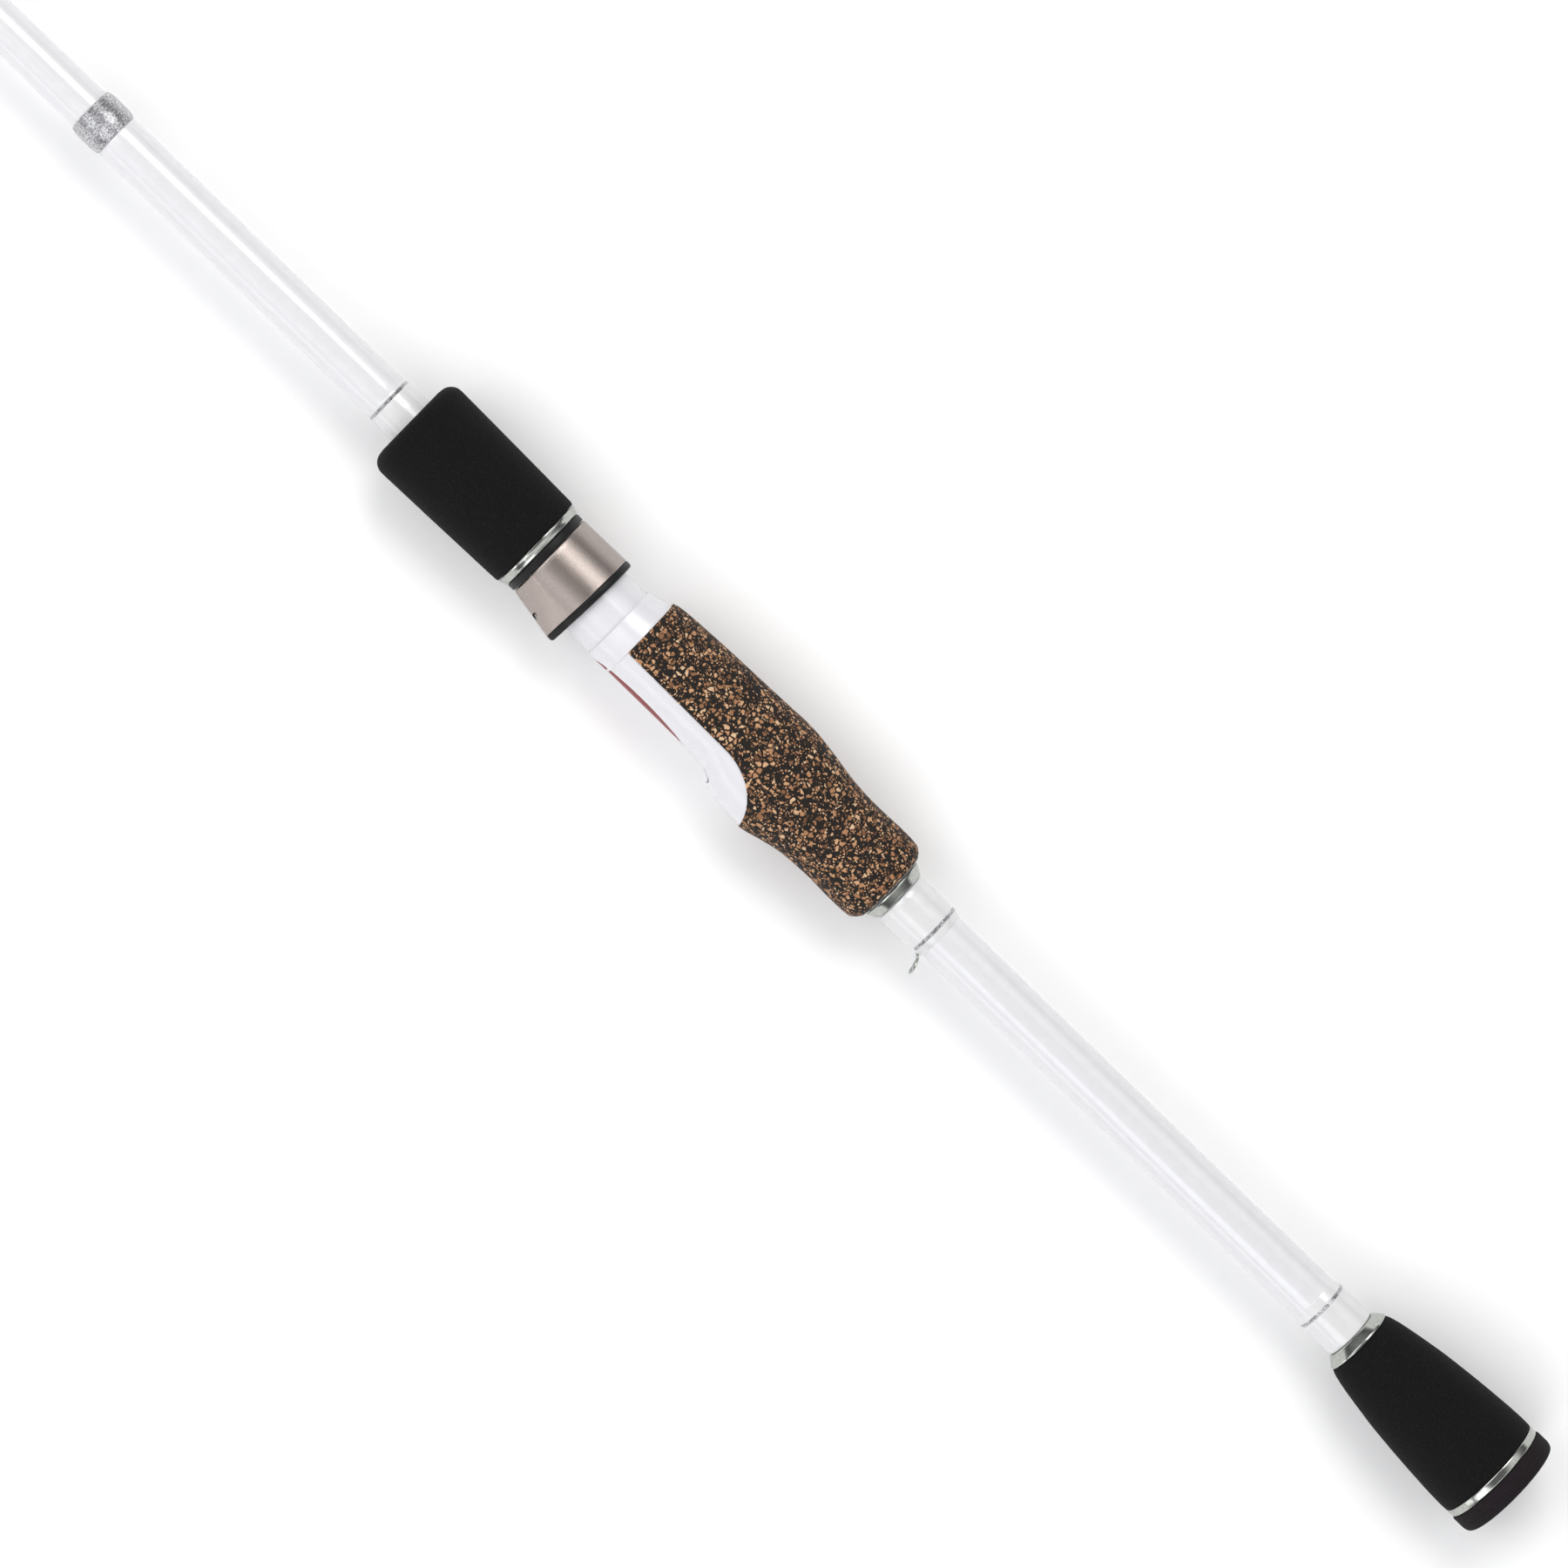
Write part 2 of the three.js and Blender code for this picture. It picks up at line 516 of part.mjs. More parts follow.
// The tip top: a socket over the blank's end and a ring held by two struts.
function tipTop() {
  const socket = { start: 2117, end: 2131, outer: 1.6 };
  const [outer, inner, wire, height] = [3, 1.95, 0.4, 3.6];
  const hoopRadius = outer + wire;
  const bore = blankRadius(socket.start) + FIT;
  let frame = solid(ring(socket.start, socket.end, bore, socket.outer));
  frame = frame.add(solid(hoop(ROD_LENGTH, height, hoopRadius, wire)));
  for (const side of [1, -1]) {
    const strut = [
      [2118, 1.3, side * 1.1],
      [2126, 1.5, side * 1.4],
      [2131, 2.3, side * 2.6],
      [ROD_LENGTH, height, side * hoopRadius],
    ];
    frame = frame.add(solid(wireAlong(strut, 0.38, 5)));
  }
  const seatHole = cylinder(ROD_LENGTH - 1, ROD_LENGTH + 1, outer + FIT, GUIDE_SIDES);
  frame = frame.subtract(solid(seatHole.translate(0, height, 0)));
  frame = frame.subtract(solid(cylinder(2100, socket.end, bore)));
  add("tip_top_frame", geometryOf(largest(frame)), GUIDE_WIRE);
  add("tip_top_ring", insertRing(ROD_LENGTH, height, outer, inner), CERAMIC);

  const wrap = [[2106, 1.4], [2108, 1.8], [2116.8, 1.8]];
  add("tip_top_wrap", sleeve(wrap, blankRadius(2106) + FIT), WHITE_LACQUER);
}

blanks();
buttGrip();
wraps();
hookKeeper();
seatCork();
reelSeat();
slidingHood();
foregrip();
GUIDES.forEach((guide, index) => lineGuide(guide, index + 1));
tipTop();

export default rod;
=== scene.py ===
import math

import bmesh
import bpy
from mathutils import Matrix, Vector


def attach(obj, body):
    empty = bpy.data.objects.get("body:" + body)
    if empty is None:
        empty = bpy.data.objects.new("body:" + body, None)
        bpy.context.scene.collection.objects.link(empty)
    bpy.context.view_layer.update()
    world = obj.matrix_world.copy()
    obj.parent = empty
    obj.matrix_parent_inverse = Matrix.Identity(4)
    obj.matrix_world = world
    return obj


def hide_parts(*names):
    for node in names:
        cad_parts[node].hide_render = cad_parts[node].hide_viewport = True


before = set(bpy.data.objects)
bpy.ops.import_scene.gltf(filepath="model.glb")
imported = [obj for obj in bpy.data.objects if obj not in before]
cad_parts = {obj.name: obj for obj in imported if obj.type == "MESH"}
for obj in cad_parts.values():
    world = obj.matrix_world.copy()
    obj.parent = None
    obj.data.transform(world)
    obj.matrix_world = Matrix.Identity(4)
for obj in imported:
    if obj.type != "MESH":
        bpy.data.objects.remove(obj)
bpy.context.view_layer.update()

MM = 0.001
SIDES = 96


# ---- materials -------------------------------------------------------------------------------

class Look:
    """A procedural material in the making. Its coordinates are the rod's own frame, in millimetres."""

    def __init__(self, name, color, roughness, metallic=0.0, **uniform):
        self.mat = bpy.data.materials.new(name)
        self.mat.use_nodes = True
        self.mat.diffuse_color = (*color, 1)
        self.tree = self.mat.node_tree
        self.bsdf = self.tree.nodes["Principled BSDF"]
        self.set("Base Color", (*color, 1))
        self.set("Roughness", roughness)
        self.set("Metallic", metallic)
        for socket, value in uniform.items():
            self.set(socket.replace("_", " "), value)
        where = self.node("ShaderNodeTexCoord")
        scale = self.node("ShaderNodeVectorMath", operation="SCALE")
        scale.inputs["Scale"].default_value = 1000
        self.link(where.outputs["Object"], scale.inputs[0])
        self.mm = scale.outputs[0]

    def set(self, socket, value):
        self.bsdf.inputs[socket].default_value = value

    def node(self, kind, **settings):
        made = self.tree.nodes.new(kind)
        for key, value in settings.items():
            setattr(made, key, value)
        return made

    def link(self, source, target):
        self.tree.links.new(source, target)

    def stretch(self, x, y, z):
        """The coordinates scaled by these amounts."""
        made = self.node("ShaderNodeVectorMath", operation="MULTIPLY")
        made.inputs[1].default_value = (x, y, z)
        self.link(self.mm, made.inputs[0])
        return made.outputs[0]

    def noise(self, scale, detail=3.0, roughness=0.55, vector=None, distortion=0.0):
        made = self.node("ShaderNodeTexNoise")
        made.inputs["Scale"].default_value = scale
        made.inputs["Detail"].default_value = detail
        made.inputs["Roughness"].default_value = roughness
        made.inputs["Distortion"].default_value = distortion
        self.link(vector or self.mm, made.inputs["Vector"])
        return made.outputs["Fac"]

    def cells(self, scale, feature="F1", randomness=1.0, vector=None):
        made = self.node("ShaderNodeTexVoronoi", feature=feature)
        made.inputs["Scale"].default_value = scale
        made.inputs["Randomness"].default_value = randomness
        self.link(vector or self.mm, made.inputs["Vector"])
        return made

    def hoops(self, pitch, distortion=0.0):
        """Ridges round the rod, one every pitch millimetres."""
        made = self.node("ShaderNodeTexWave", wave_type="BANDS", bands_direction="X")
        made.inputs["Scale"].default_value = 2 * math.pi / (20 * pitch)
        made.inputs["Distortion"].default_value = distortion
        made.inputs["Detail"].default_value = 1
        self.link(self.mm, made.inputs["Vector"])
        return made.outputs["Fac"]

    def spread(self, value, low, high, out_low=0.0, out_high=1.0):
        """value mapped from low..high to out_low..out_high, and held there."""
        made = self.node("ShaderNodeMapRange")
        ends = {"From Min": low, "From Max": high, "To Min": out_low, "To Max": out_high}
        for socket, end in ends.items():
            made.inputs[socket].default_value = end
        self.link(value, made.inputs["Value"])
        return made.outputs["Result"]

    def math(self, operation, a, b):
        made = self.node("ShaderNodeMath", operation=operation)
        for socket, value in zip(made.inputs, (a, b)):
            if isinstance(value, (int, float)):
                socket.default_value = value
            else:
                self.link(value, socket)
        return made.outputs[0]

    def ramp(self, value, stops, interpolation="LINEAR"):
        made = self.node("ShaderNodeValToRGB")
        made.color_ramp.interpolation = interpolation
        elements = made.color_ramp.elements
        while len(elements) < len(stops):
            elements.new(0.5)
        for element, (position, color) in zip(elements, stops):
            element.position = position
            element.color = (*color, 1)
        self.link(value, made.inputs["Fac"])
        return made.outputs["Color"]

    def mix(self, factor, a, b):
        made = self.node("ShaderNodeMix", data_type="RGBA")
        for socket, value in ((made.inputs[0], factor), (made.inputs[6], a), (made.inputs[7], b)):
            if isinstance(value, tuple):
                socket.default_value = (*value, 1)
            elif isinstance(value, float):
                socket.default_value = value
            else:
                self.link(value, socket)
        return made.outputs[2]

    def color(self, value):
        self.link(value, self.bsdf.inputs["Base Color"])

    def rough(self, value):
        self.link(value, self.bsdf.inputs["Roughness"])

    def bump(self, height, depth_mm, strength=1.0):
        made = self.node("ShaderNodeBump")
        made.inputs["Strength"].default_value = strength
        made.inputs["Distance"].default_value = depth_mm * MM
        self.link(height, made.inputs["Height"])
        previous = self.bsdf.inputs["Normal"].links
        if previous:
            self.link(previous[0].from_socket, made.inputs["Normal"])
        self.link(made.outputs["Normal"], self.bsdf.inputs["Normal"])


def white_lacquer(name, color, thread=0.0):
    look = Look(name, color, 0.2, Coat_Weight=0.6, Coat_Roughness=0.06, IOR=1.5)
    tint = tuple(c * 0.965 for c in color)
    look.color(look.mix(look.spread(look.noise(0.35), 0.35, 0.65), color, tint))
    look.rough(look.spread(look.noise(3.0, 4), 0.3, 0.7, 0.16, 0.26))
    look.bump(look.noise(0.5, 2), 0.03, 0.25)
    if thread:
        look.bump(look.hoops(thread, 0.4), 0.02, 0.35)
    return look.mat


def moulded_white():
    color = (0.69, 0.685, 0.715)
    look = Look("seat_white", color, 0.24, Coat_Weight=0.35, Coat_Roughness=0.1)
    look.color(look.mix(look.spread(look.noise(0.2), 0.3, 0.7), color, (0.665, 0.66, 0.69)))
    look.rough(look.spread(look.noise(5.0, 5), 0.3, 0.7, 0.2, 0.3))
    look.bump(look.noise(8.0, 2), 0.01, 0.3)
    return look.mat


def foam(name, color, grain=3.2):
    look = Look(name, color, 0.9, Specular_IOR_Level=0.14, Sheen_Weight=0.01, Sheen_Roughness=0.5)
    fine = look.noise(grain, 6, 0.7)
    pores = look.cells(grain * 1.1).outputs["Distance"]
    light = tuple(c * 2.2 + 0.002 for c in color)
    dark = tuple(c * 0.55 for c in color)
    grainy = look.math("ADD", look.math("MULTIPLY", fine, 0.7), look.math("MULTIPLY", pores, 0.35))
    look.color(look.ramp(grainy, [(0.3, dark), (0.52, color), (0.74, light)]))
    look.rough(look.spread(fine, 0.3, 0.7, 0.8, 0.98))
    look.bump(pores, 0.12, 0.5)
    look.bump(fine, 0.15, 0.6)
    return look.mat


def rubber_cork():
    """Cork chips of several sizes, sanded flush in dark rubber."""
    look = Look("rubber_cork", (0.3, 0.16, 0.07), 0.75, Specular_IOR_Level=0.3)
    warp = look.node("ShaderNodeTexNoise")
    warp.inputs["Scale"].default_value = 0.9
    warp.inputs["Detail"].default_value = 2
    look.link(look.mm, warp.inputs["Vector"])
    centred = look.node("ShaderNodeVectorMath", operation="SUBTRACT")
    centred.inputs[1].default_value = (0.5, 0.5, 0.5)
    look.link(warp.outputs["Color"], centred.inputs[0])
    bent = look.node("ShaderNodeVectorMath", operation="MULTIPLY_ADD")
    bent.inputs[1].default_value = (0.7, 0.7, 0.7)
    look.link(centred.outputs[0], bent.inputs[0])
    look.link(look.mm, bent.inputs[2])
    chips = []
    for scale, gap, share in ((0.8, 0.27, 0.5), (1.45, 0.31, 0.64)):
        edge = look.cells(scale, "DISTANCE_TO_EDGE", vector=bent.outputs[0])
        inside = look.spread(edge.outputs["Distance"], gap * 0.5, gap * 0.75, 0, 1)
        cell = look.cells(scale, vector=bent.outputs[0])
        kind = look.node("ShaderNodeSeparateColor")
        look.link(cell.outputs["Color"], kind.inputs[0])
        chosen = look.math("LESS_THAN", kind.outputs[0], share)
        chips.append((look.math("MULTIPLY", inside, chosen), kind.outputs[1], kind.outputs[2]))
    tans = [
        (0.0, (0.11, 0.048, 0.02)),
        (0.25, (0.29, 0.135, 0.062)),
        (0.55, (0.44, 0.225, 0.11)),
        (0.8, (0.56, 0.33, 0.18)),
        (1.0, (0.68, 0.49, 0.32)),
    ]
    matrix = look.ramp(look.noise(2.6, 4), [(0.35, (0.003, 0.0025, 0.002)), (0.75, (0.016, 0.009, 0.005))])
    mottle = look.noise(4.5, 4)
    shade = look.spread(mottle, 0.3, 0.7, 0.78, 1.1)
    color = matrix
    height = look.math("MULTIPLY", mottle, 0.25)
    for mask, hue, _ in reversed(chips):
        tan = look.ramp(look.math("MULTIPLY", hue, shade), tans)
        color = look.mix(mask, color, tan)
        height = look.math("ADD", height, look.math("MULTIPLY", mask, 0.5))
    look.color(color)
    look.rough(look.spread(mottle, 0.3, 0.7, 0.62, 0.85))
    look.bump(height, 0.1, 0.7)
    return look.mat


def metal(name, color, roughness, lines=0.0, grain=0.0, **uniform):
    look = Look(name, color, roughness, 1.0, **uniform)
    tone = look.noise(1.2 if not grain else grain, 4, 0.7)
    worn = tuple(c * 0.72 for c in color)
    look.color(look.mix(look.spread(tone, 0.35, 0.7), color, worn))
    look.rough(look.spread(tone, 0.3, 0.7, roughness * 0.8, roughness * 1.25))
    if lines:
        look.bump(look.hoops(lines, 0.8), 0.006, 0.35)
    if grain:
        look.bump(tone, 0.05, 0.8)
    return look.mat


def metallic_thread(name="silver_thread"):
    look = Look(name, (0.55, 0.56, 0.58), 0.3, 0.9, Coat_Weight=0.7, Coat_Roughness=0.05)
    broken = look.noise(1.0, 4, 0.7, vector=look.stretch(6, 1.2, 1.2))
    flecks = look.noise(2.4, 3, 0.6)
    both = look.math("ADD", look.math("MULTIPLY", broken, 0.6), look.math("MULTIPLY", flecks, 0.4))
    tones = [(0.36, (0.06, 0.06, 0.065)), (0.5, (0.38, 0.38, 0.4)), (0.62, (0.85, 0.85, 0.87))]
    look.color(look.ramp(both, tones))
    look.rough(look.spread(broken, 0.3, 0.7, 0.2, 0.45))
    look.bump(look.hoops(0.28, 0.3), 0.05, 0.7)
    look.bump(flecks, 0.05, 0.5)
    return look.mat


def satin_black(name, color=(0.006, 0.006, 0.0065), roughness=0.42):
    look = Look(name, color, roughness, Specular_IOR_Level=0.2)
    fine = look.noise(5.0, 5, 0.65)
    look.color(look.mix(look.spread(fine, 0.35, 0.7), color, tuple(c * 1.6 for c in color)))
    look.rough(look.spread(fine, 0.3, 0.7, roughness * 0.85, roughness * 1.2))
    look.bump(fine, 0.03, 0.4)
    return look.mat


def glazed_ceramic():
    look = Look("guide_ceramic", (0.03, 0.031, 0.036), 0.1, 0.25, Coat_Weight=0.6, Coat_Roughness=0.04)
    tone = look.noise(1.6, 3)
    look.color(look.mix(look.spread(tone, 0.35, 0.65), (0.028, 0.029, 0.034), (0.045, 0.046, 0.054)))
    look.rough(look.spread(tone, 0.3, 0.7, 0.07, 0.15))
    look.bump(look.noise(6.0, 2), 0.006, 0.3)
    return look.mat


def plain_floor():
    look = Look("floor_paper", (0.96, 0.96, 0.96), 0.85, Specular_IOR_Level=0.1)
    tone = look.noise(0.01, 4)
    look.color(look.mix(look.spread(tone, 0.3, 0.7), (0.97, 0.97, 0.97), (0.95, 0.95, 0.95)))
    look.bump(look.noise(1.5, 4), 0.05, 0.05)
    return look.mat


WHITE = white_lacquer("blank_white", (0.70, 0.70, 0.72))
WRAP = white_lacquer("wrap_white", (0.685, 0.685, 0.69), thread=0.32)
SEAT = moulded_white()
FOAM = foam("black_foam", (0.0042, 0.0042, 0.0044))
CAP = foam("butt_rubber", (0.0115, 0.0088, 0.0105), grain=5.0)
CORK = rubber_cork()
POLISHED = metal("polished_ring", (0.47, 0.485, 0.45), 0.14)
GUNMETAL = metal("gunmetal", (0.40, 0.345, 0.32), 0.3, grain=4.5)
GUIDE_WIRE = metal("guide_wire", (0.55, 0.55, 0.57), 0.18)
THREAD = metallic_thread()
BLACK = satin_black("satin_black")
RED = satin_black("label_red", (0.17, 0.014, 0.014), 0.4)
ARBOR = foam("arbor_foam", (0.3, 0.3, 0.29), grain=2.0)
CERAMIC = glazed_ceramic()


# ---- shapes ----------------------------------------------------------------------------------

def lerp(table, x):
    """Value at x of rows of (x, value), straight between rows."""
    for (x0, v0), (x1, v1) in zip(table, table[1:]):
        if x <= x1:
            return v0 + (v1 - v0) * max(0.0, (x - x0) / (x1 - x0))
    return table[-1][1]


def eased(table, x):
    """Value at x of rows of (x, value), on a smooth curve through the rows."""
    if x <= table[0][0]:
        return table[0][1]
    if x >= table[-1][0]:
        return table[-1][1]
    i = max(k for k in range(len(table) - 1) if table[k][0] <= x)
    (x0, v0), (x1, v1) = table[i], table[i + 1]
    before = table[max(i - 1, 0)]
    after = table[min(i + 2, len(table) - 1)]
    slope0 = (v1 - before[1]) / (x1 - before[0])
    slope1 = (after[1] - v0) / (after[0] - x0)
    t = (x - x0) / (x1 - x0)
    h = x1 - x0
    return (
        v0 * (2 * t**3 - 3 * t**2 + 1)
        + slope0 * h * (t**3 - 2 * t**2 + t)
        + v1 * (3 * t**2 - 2 * t**3)
        + slope1 * h * (t**3 - t**2)
    )


def steps(start, end, size):
    """Even steps from start to end, both included, about size apart."""
    count = max(1, round((end - start) / size))
    return [start + (end - start) * i / count for i in range(count + 1)]


def softened(points, reach, closed=False, cuts=4):
    """A polyline with its corners rounded, starting up to reach before each corner."""
    out = []
    count = len(points)
    for i, p in enumerate(points):
        if not closed and i in (0, count - 1):
            out.append(p)
            continue
        a = Vector(points[i - 1])
        b = Vector(p)
        c = Vector(points[(i + 1) % count])
        first = b + (a - b) * min(0.45, reach / max((a - b).length, 1e-6))
        last = b + (c - b) * min(0.45, reach / max((c - b).length, 1e-6))
        for k in range(cuts + 1):
            t = k / cuts
            q = first * (1 - t) ** 2 + b * 2 * t * (1 - t) + last * t**2
            out.append(tuple(q))
    return out


def piece(name, verts, faces, material, nodes=(), body="handle", slot=None, sharp=32.0):
    """A mesh piece, in millimetres, that rides on a body and stands for CAD nodes."""
    mesh = bpy.data.meshes.new(name)
    mesh.from_pydata([tuple(c * MM for c in v) for v in verts], [], faces)
    bm = bmesh.new()
    bm.from_mesh(mesh)
    bmesh.ops.remove_doubles(bm, verts=bm.verts, dist=1e-7)
    bmesh.ops.dissolve_degenerate(bm, edges=bm.edges, dist=1e-8)
    bmesh.ops.recalc_face_normals(bm, faces=bm.faces)
    bm.to_mesh(mesh)
    bm.free()
    mesh.materials.append(material)
    obj = bpy.data.objects.new(name, mesh)
    bpy.context.scene.collection.objects.link(obj)
    finish_piece(obj, nodes, body, sharp)
    return obj


def finish_piece(obj, nodes, body, sharp):
    obj.data.shade_smooth()
    obj.data.set_sharp_from_angle(angle=math.radians(sharp))
    if nodes:
        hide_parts(*nodes)
    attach(obj, body)


def grid_faces(rows, columns, closed_rows=False, closed_columns=True):
    faces = []
    for i in range(rows if closed_rows else rows - 1):
        for j in range(columns if closed_columns else columns - 1):
            a = i * columns + j
            b = i * columns + (j + 1) % columns
            c = ((i + 1) % rows) * columns + (j + 1) % columns
            d = ((i + 1) % rows) * columns + j
            faces.append((a, b, c, d))
    return faces


def circle(x, radius, sides=SIDES, y=0.0):
    angles = [2 * math.pi * k / sides for k in range(sides)]
    return [(x, y + radius * math.cos(a), radius * math.sin(a)) for a in angles]


def turned(name, profile, material, nodes=(), closed=False, sides=SIDES, y=0.0, **where):
    """A piece turned about X, from a profile of (x, radius)."""
    verts = [v for x, r in profile for v in circle(x, r, sides, y)]
    faces = grid_faces(len(profile), sides, closed_rows=closed)
    return piece(name, verts, faces, material, nodes, **where)


def sleeve(name, outside, bore, material, nodes=(), soft=0.25, sides=SIDES, **where):
    """A turned piece with a straight bore and softened edges."""
    loop = softened([(outside[0][0], bore), *outside, (outside[-1][0], bore)], soft, closed=True)
    return turned(name, loop, material, nodes, closed=True, sides=sides, **where)


def lofted(name, sections, material, nodes=(), **where):
    """A closed body through sections, each a list of as many points."""
    verts = [v for section in sections for v in section]
    columns = len(sections[0])
    faces = grid_faces(len(sections), columns)
    faces.append(tuple(range(columns)))
    last = (len(sections) - 1) * columns
    faces.append(tuple(range(last + columns - 1, last - 1, -1)))
    return piece(name, verts, faces, material, nodes, **where)


def tube(name, points, radius, material, nodes=(), sides=14, smooth=True, join_to=None, **where):
    """Round wire along a smooth curve through points."""
    path = [Vector(p) for p in points]
    if smooth:
        path = curve_through(path, 8)
    verts = []
    normal = Vector((0, 0, 1))
    for i, p in enumerate(path):
        ahead = (path[min(i + 1, len(path) - 1)] - path[max(i - 1, 0)]).normalized()
        normal = normal - ahead * normal.dot(ahead)
        if normal.length < 1e-3:
            normal = ahead.orthogonal()
        normal.normalize()
        side = ahead.cross(normal)
        r = radius(i / (len(path) - 1)) if callable(radius) else radius
        for k in range(sides):
            a = 2 * math.pi * k / sides
            verts.append(tuple(p + normal * (r * math.cos(a)) + side * (r * math.sin(a))))
    faces = grid_faces(len(path), sides)
    faces.append(tuple(range(sides)))
    faces.append(tuple(range(len(verts) - 1, len(verts) - 1 - sides, -1)))
    if join_to is not None:
        base = len(join_to[0])
        join_to[0].extend(verts)
        join_to[1].extend(tuple(i + base for i in face) for face in faces)
        return None
    return piece(name, verts, faces, material, nodes, sharp=50, **where)


def curve_through(path, cuts):
    out = []
    for i in range(len(path) - 1):
        p0 = path[max(i - 1, 0)]
        p1, p2 = path[i], path[i + 1]
        p3 = path[min(i + 2, len(path) - 1)]
        for k in range(cuts):
            t = k / cuts
            bend = p0 * 2 - p1 * 5 + p2 * 4 - p3
            twist = p1 * 3 - p0 - p2 * 3 + p3
            out.append((p1 * 2 + (p2 - p0) * t + bend * t**2 + twist * t**3) * 0.5)
    out.append(path[-1])
    return out


def add_torus(parts, x, y, radius, wire, sides=48, wire_sides=14):
    base = len(parts[0])
    for i in range(sides):
        a = 2 * math.pi * i / sides
        for k in range(wire_sides):
            b = 2 * math.pi * k / wire_sides
            r = radius + wire * math.cos(b)
            parts[0].append((x + wire * math.sin(b), y + r * math.cos(a), r * math.sin(a)))
    faces = grid_faces(sides, wire_sides, closed_rows=True)
    parts[1].extend(tuple(i + base for i in face) for face in faces)


def add_strap(parts, x0, x1, bottom, top, half_width):
    """A flat foot with a rounded back and a tapering end at x1."""
    base = len(parts[0])
    columns = 10
    for i, t in enumerate([0, 0.1, 0.3, 0.55, 0.8, 1.0]):
        x = x0 + (x1 - x0) * t
        height = (top - bottom) * (1 - 0.75 * t**2)
        width = half_width * (1 - 0.45 * t**2)
        for k in range(columns):
            a = math.pi * k / (columns - 1)
            z = width * math.cos(a)
            parts[0].append((x, bottom + height * math.sin(a) ** 0.6, z))
    faces = grid_faces(6, columns)
    faces.append(tuple(range(columns)))
    faces.append(tuple(range(6 * columns - 1, 5 * columns - 1, -1)))
    parts[1].extend(tuple(i + base for i in face) for face in faces)


# ---- blank and wraps -------------------------------------------------------------------------

BUTT_BLANK = [(5.2, 6.15), (64, 6.12), (190, 6.02), (460, 5.3), (1110, 3.55)]
TIP_BLANK = [(1060, 4.3), (1112, 4.2), (2128, 0.8)]


def blank_radius(x):
    return lerp(BUTT_BLANK if x < 1060 else TIP_BLANK, x)


def blanks():
    butt = [(x, lerp(BUTT_BLANK, x)) for x in steps(5.2, 1110, 6)]
    bore = [(x, r - 1.1) for x, r in reversed(BUTT_BLANK)]
    turned("butt_section", butt + bore, WHITE, ["butt_section_blank"], closed=True, slot="white_lacquer")
    tip = [(x, lerp(TIP_BLANK, x)) for x in steps(1061, 2128, 6)]
    mouth = [(1060.3, 4.22), (1060, 4.05), (1060, 3.83)]
    bore = [(2128, 0.3), (1712, 0.3), (1712, 0.8), (1112, 3.55), (1112, 3.68)]
    loop = tip + bore + mouth[::-1]
    nodes = ["tip_section_blank", "ferrule_socket"]
    turned("tip_section", loop, WHITE, nodes, closed=True, body="tip_section", slot="white_lacquer")
    outside = [(1060.1, 4.5), (1060.9, 4.74), (1064, 4.76), (1082, 4.7), (1085.9, 4.36)]
    sleeve("ferrule_wrapping", outside, 4.31, WRAP, ["ferrule_wrap"], soft=0.8, body="tip_section",
           slot="white_lacquer")
    for x in (1066, 1080):
        band = [(x, 4.7), (x + 0.2, 4.79), (x + 0.8, 4.79), (x + 1, 4.7)]
        sleeve(f"ferrule_trim_{x}", band, 4.5, THREAD, soft=0.1, body="tip_section", slot="silver_thread")


def thread_band(name, x0, x1, radius, nodes, bulge=0.05, body="handle"):
    """A few turns of metallic thread, each turn a small ridge."""
    turns = max(2, round((x1 - x0) / 0.28))
    profile = []
    for i in range(turns * 6 + 1):
        t = i / (turns * 6)
        x = x0 + (x1 - x0) * t
        ridge = abs(math.sin(math.pi * turns * t)) ** 0.5
        profile.append((x, radius - 0.05 + bulge * ridge))
    outside = [(x0, radius - 0.3), *profile, (x1, radius - 0.3)]
    turned(name, outside, THREAD, nodes, closed=True, body=body, slot="silver_thread")


def wraps():
    outside = [(52.1, 6.5), (52.5, 6.68), (56, 6.7), (60.6, 6.62), (62.2, 6.52), (64.4, 6.14)]
    sleeve("rear_wrapping", outside, 6.0, WRAP, ["rear_trim_wrap"], soft=0.6, slot="white_lacquer")
    thread_band("rear_thread", 61.1, 61.9, 6.67, ["rear_trim_band"])

    outside = [(344, 6.2), (346, 6.3), (357, 6.18), (360.7, 5.98), (361.4, 5.86), (362.4, 5.72)]
    sleeve("fore_wrapping", outside, 5.6, WRAP, ["fore_trim_wrap"], soft=0.5, slot="white_lacquer")
    thread_band("fore_thread", 360.9, 361.7, 6.0, ["fore_trim_band"])
    outside = [(361.9, 5.74), (364, 5.84), (380, 5.8), (446, 5.68), (447.8, 5.6)]
    sleeve("butt_wrapping", outside, 5.4, WHITE, ["butt_wrap"], soft=1.0, slot="white_lacquer")

    profile = []
    for i in range(29 * 6 + 1):
        t = i / (29 * 6)
        ridge = abs(math.sin(math.pi * 29 * t)) ** 0.6
        barrel = 5.72 + 0.5 * (1 - (2 * t - 1) ** 4)
        profile.append((448 + 8.4 * t, barrel + 0.06 * ridge))
    outside = [(448, 5.4), *profile, (456.4, 5.4)]
    turned("foil_band", outside, THREAD, ["silver_band"], closed=True, slot="silver_thread")


# ---- butt grip and foregrip -------------------------------------------------------------------

BUTT_GRIP = [
    (7.4, 13.72), (9.6, 13.75), (13.6, 13.62), (17.6, 13.35), (21.6, 13.05), (25.6, 12.7), (29.6, 12.3),
    (33.6, 11.85), (37.6, 11.25), (41.6, 10.6), (45.6, 9.85), (48.4, 9.1), (49.1, 8.75),
]


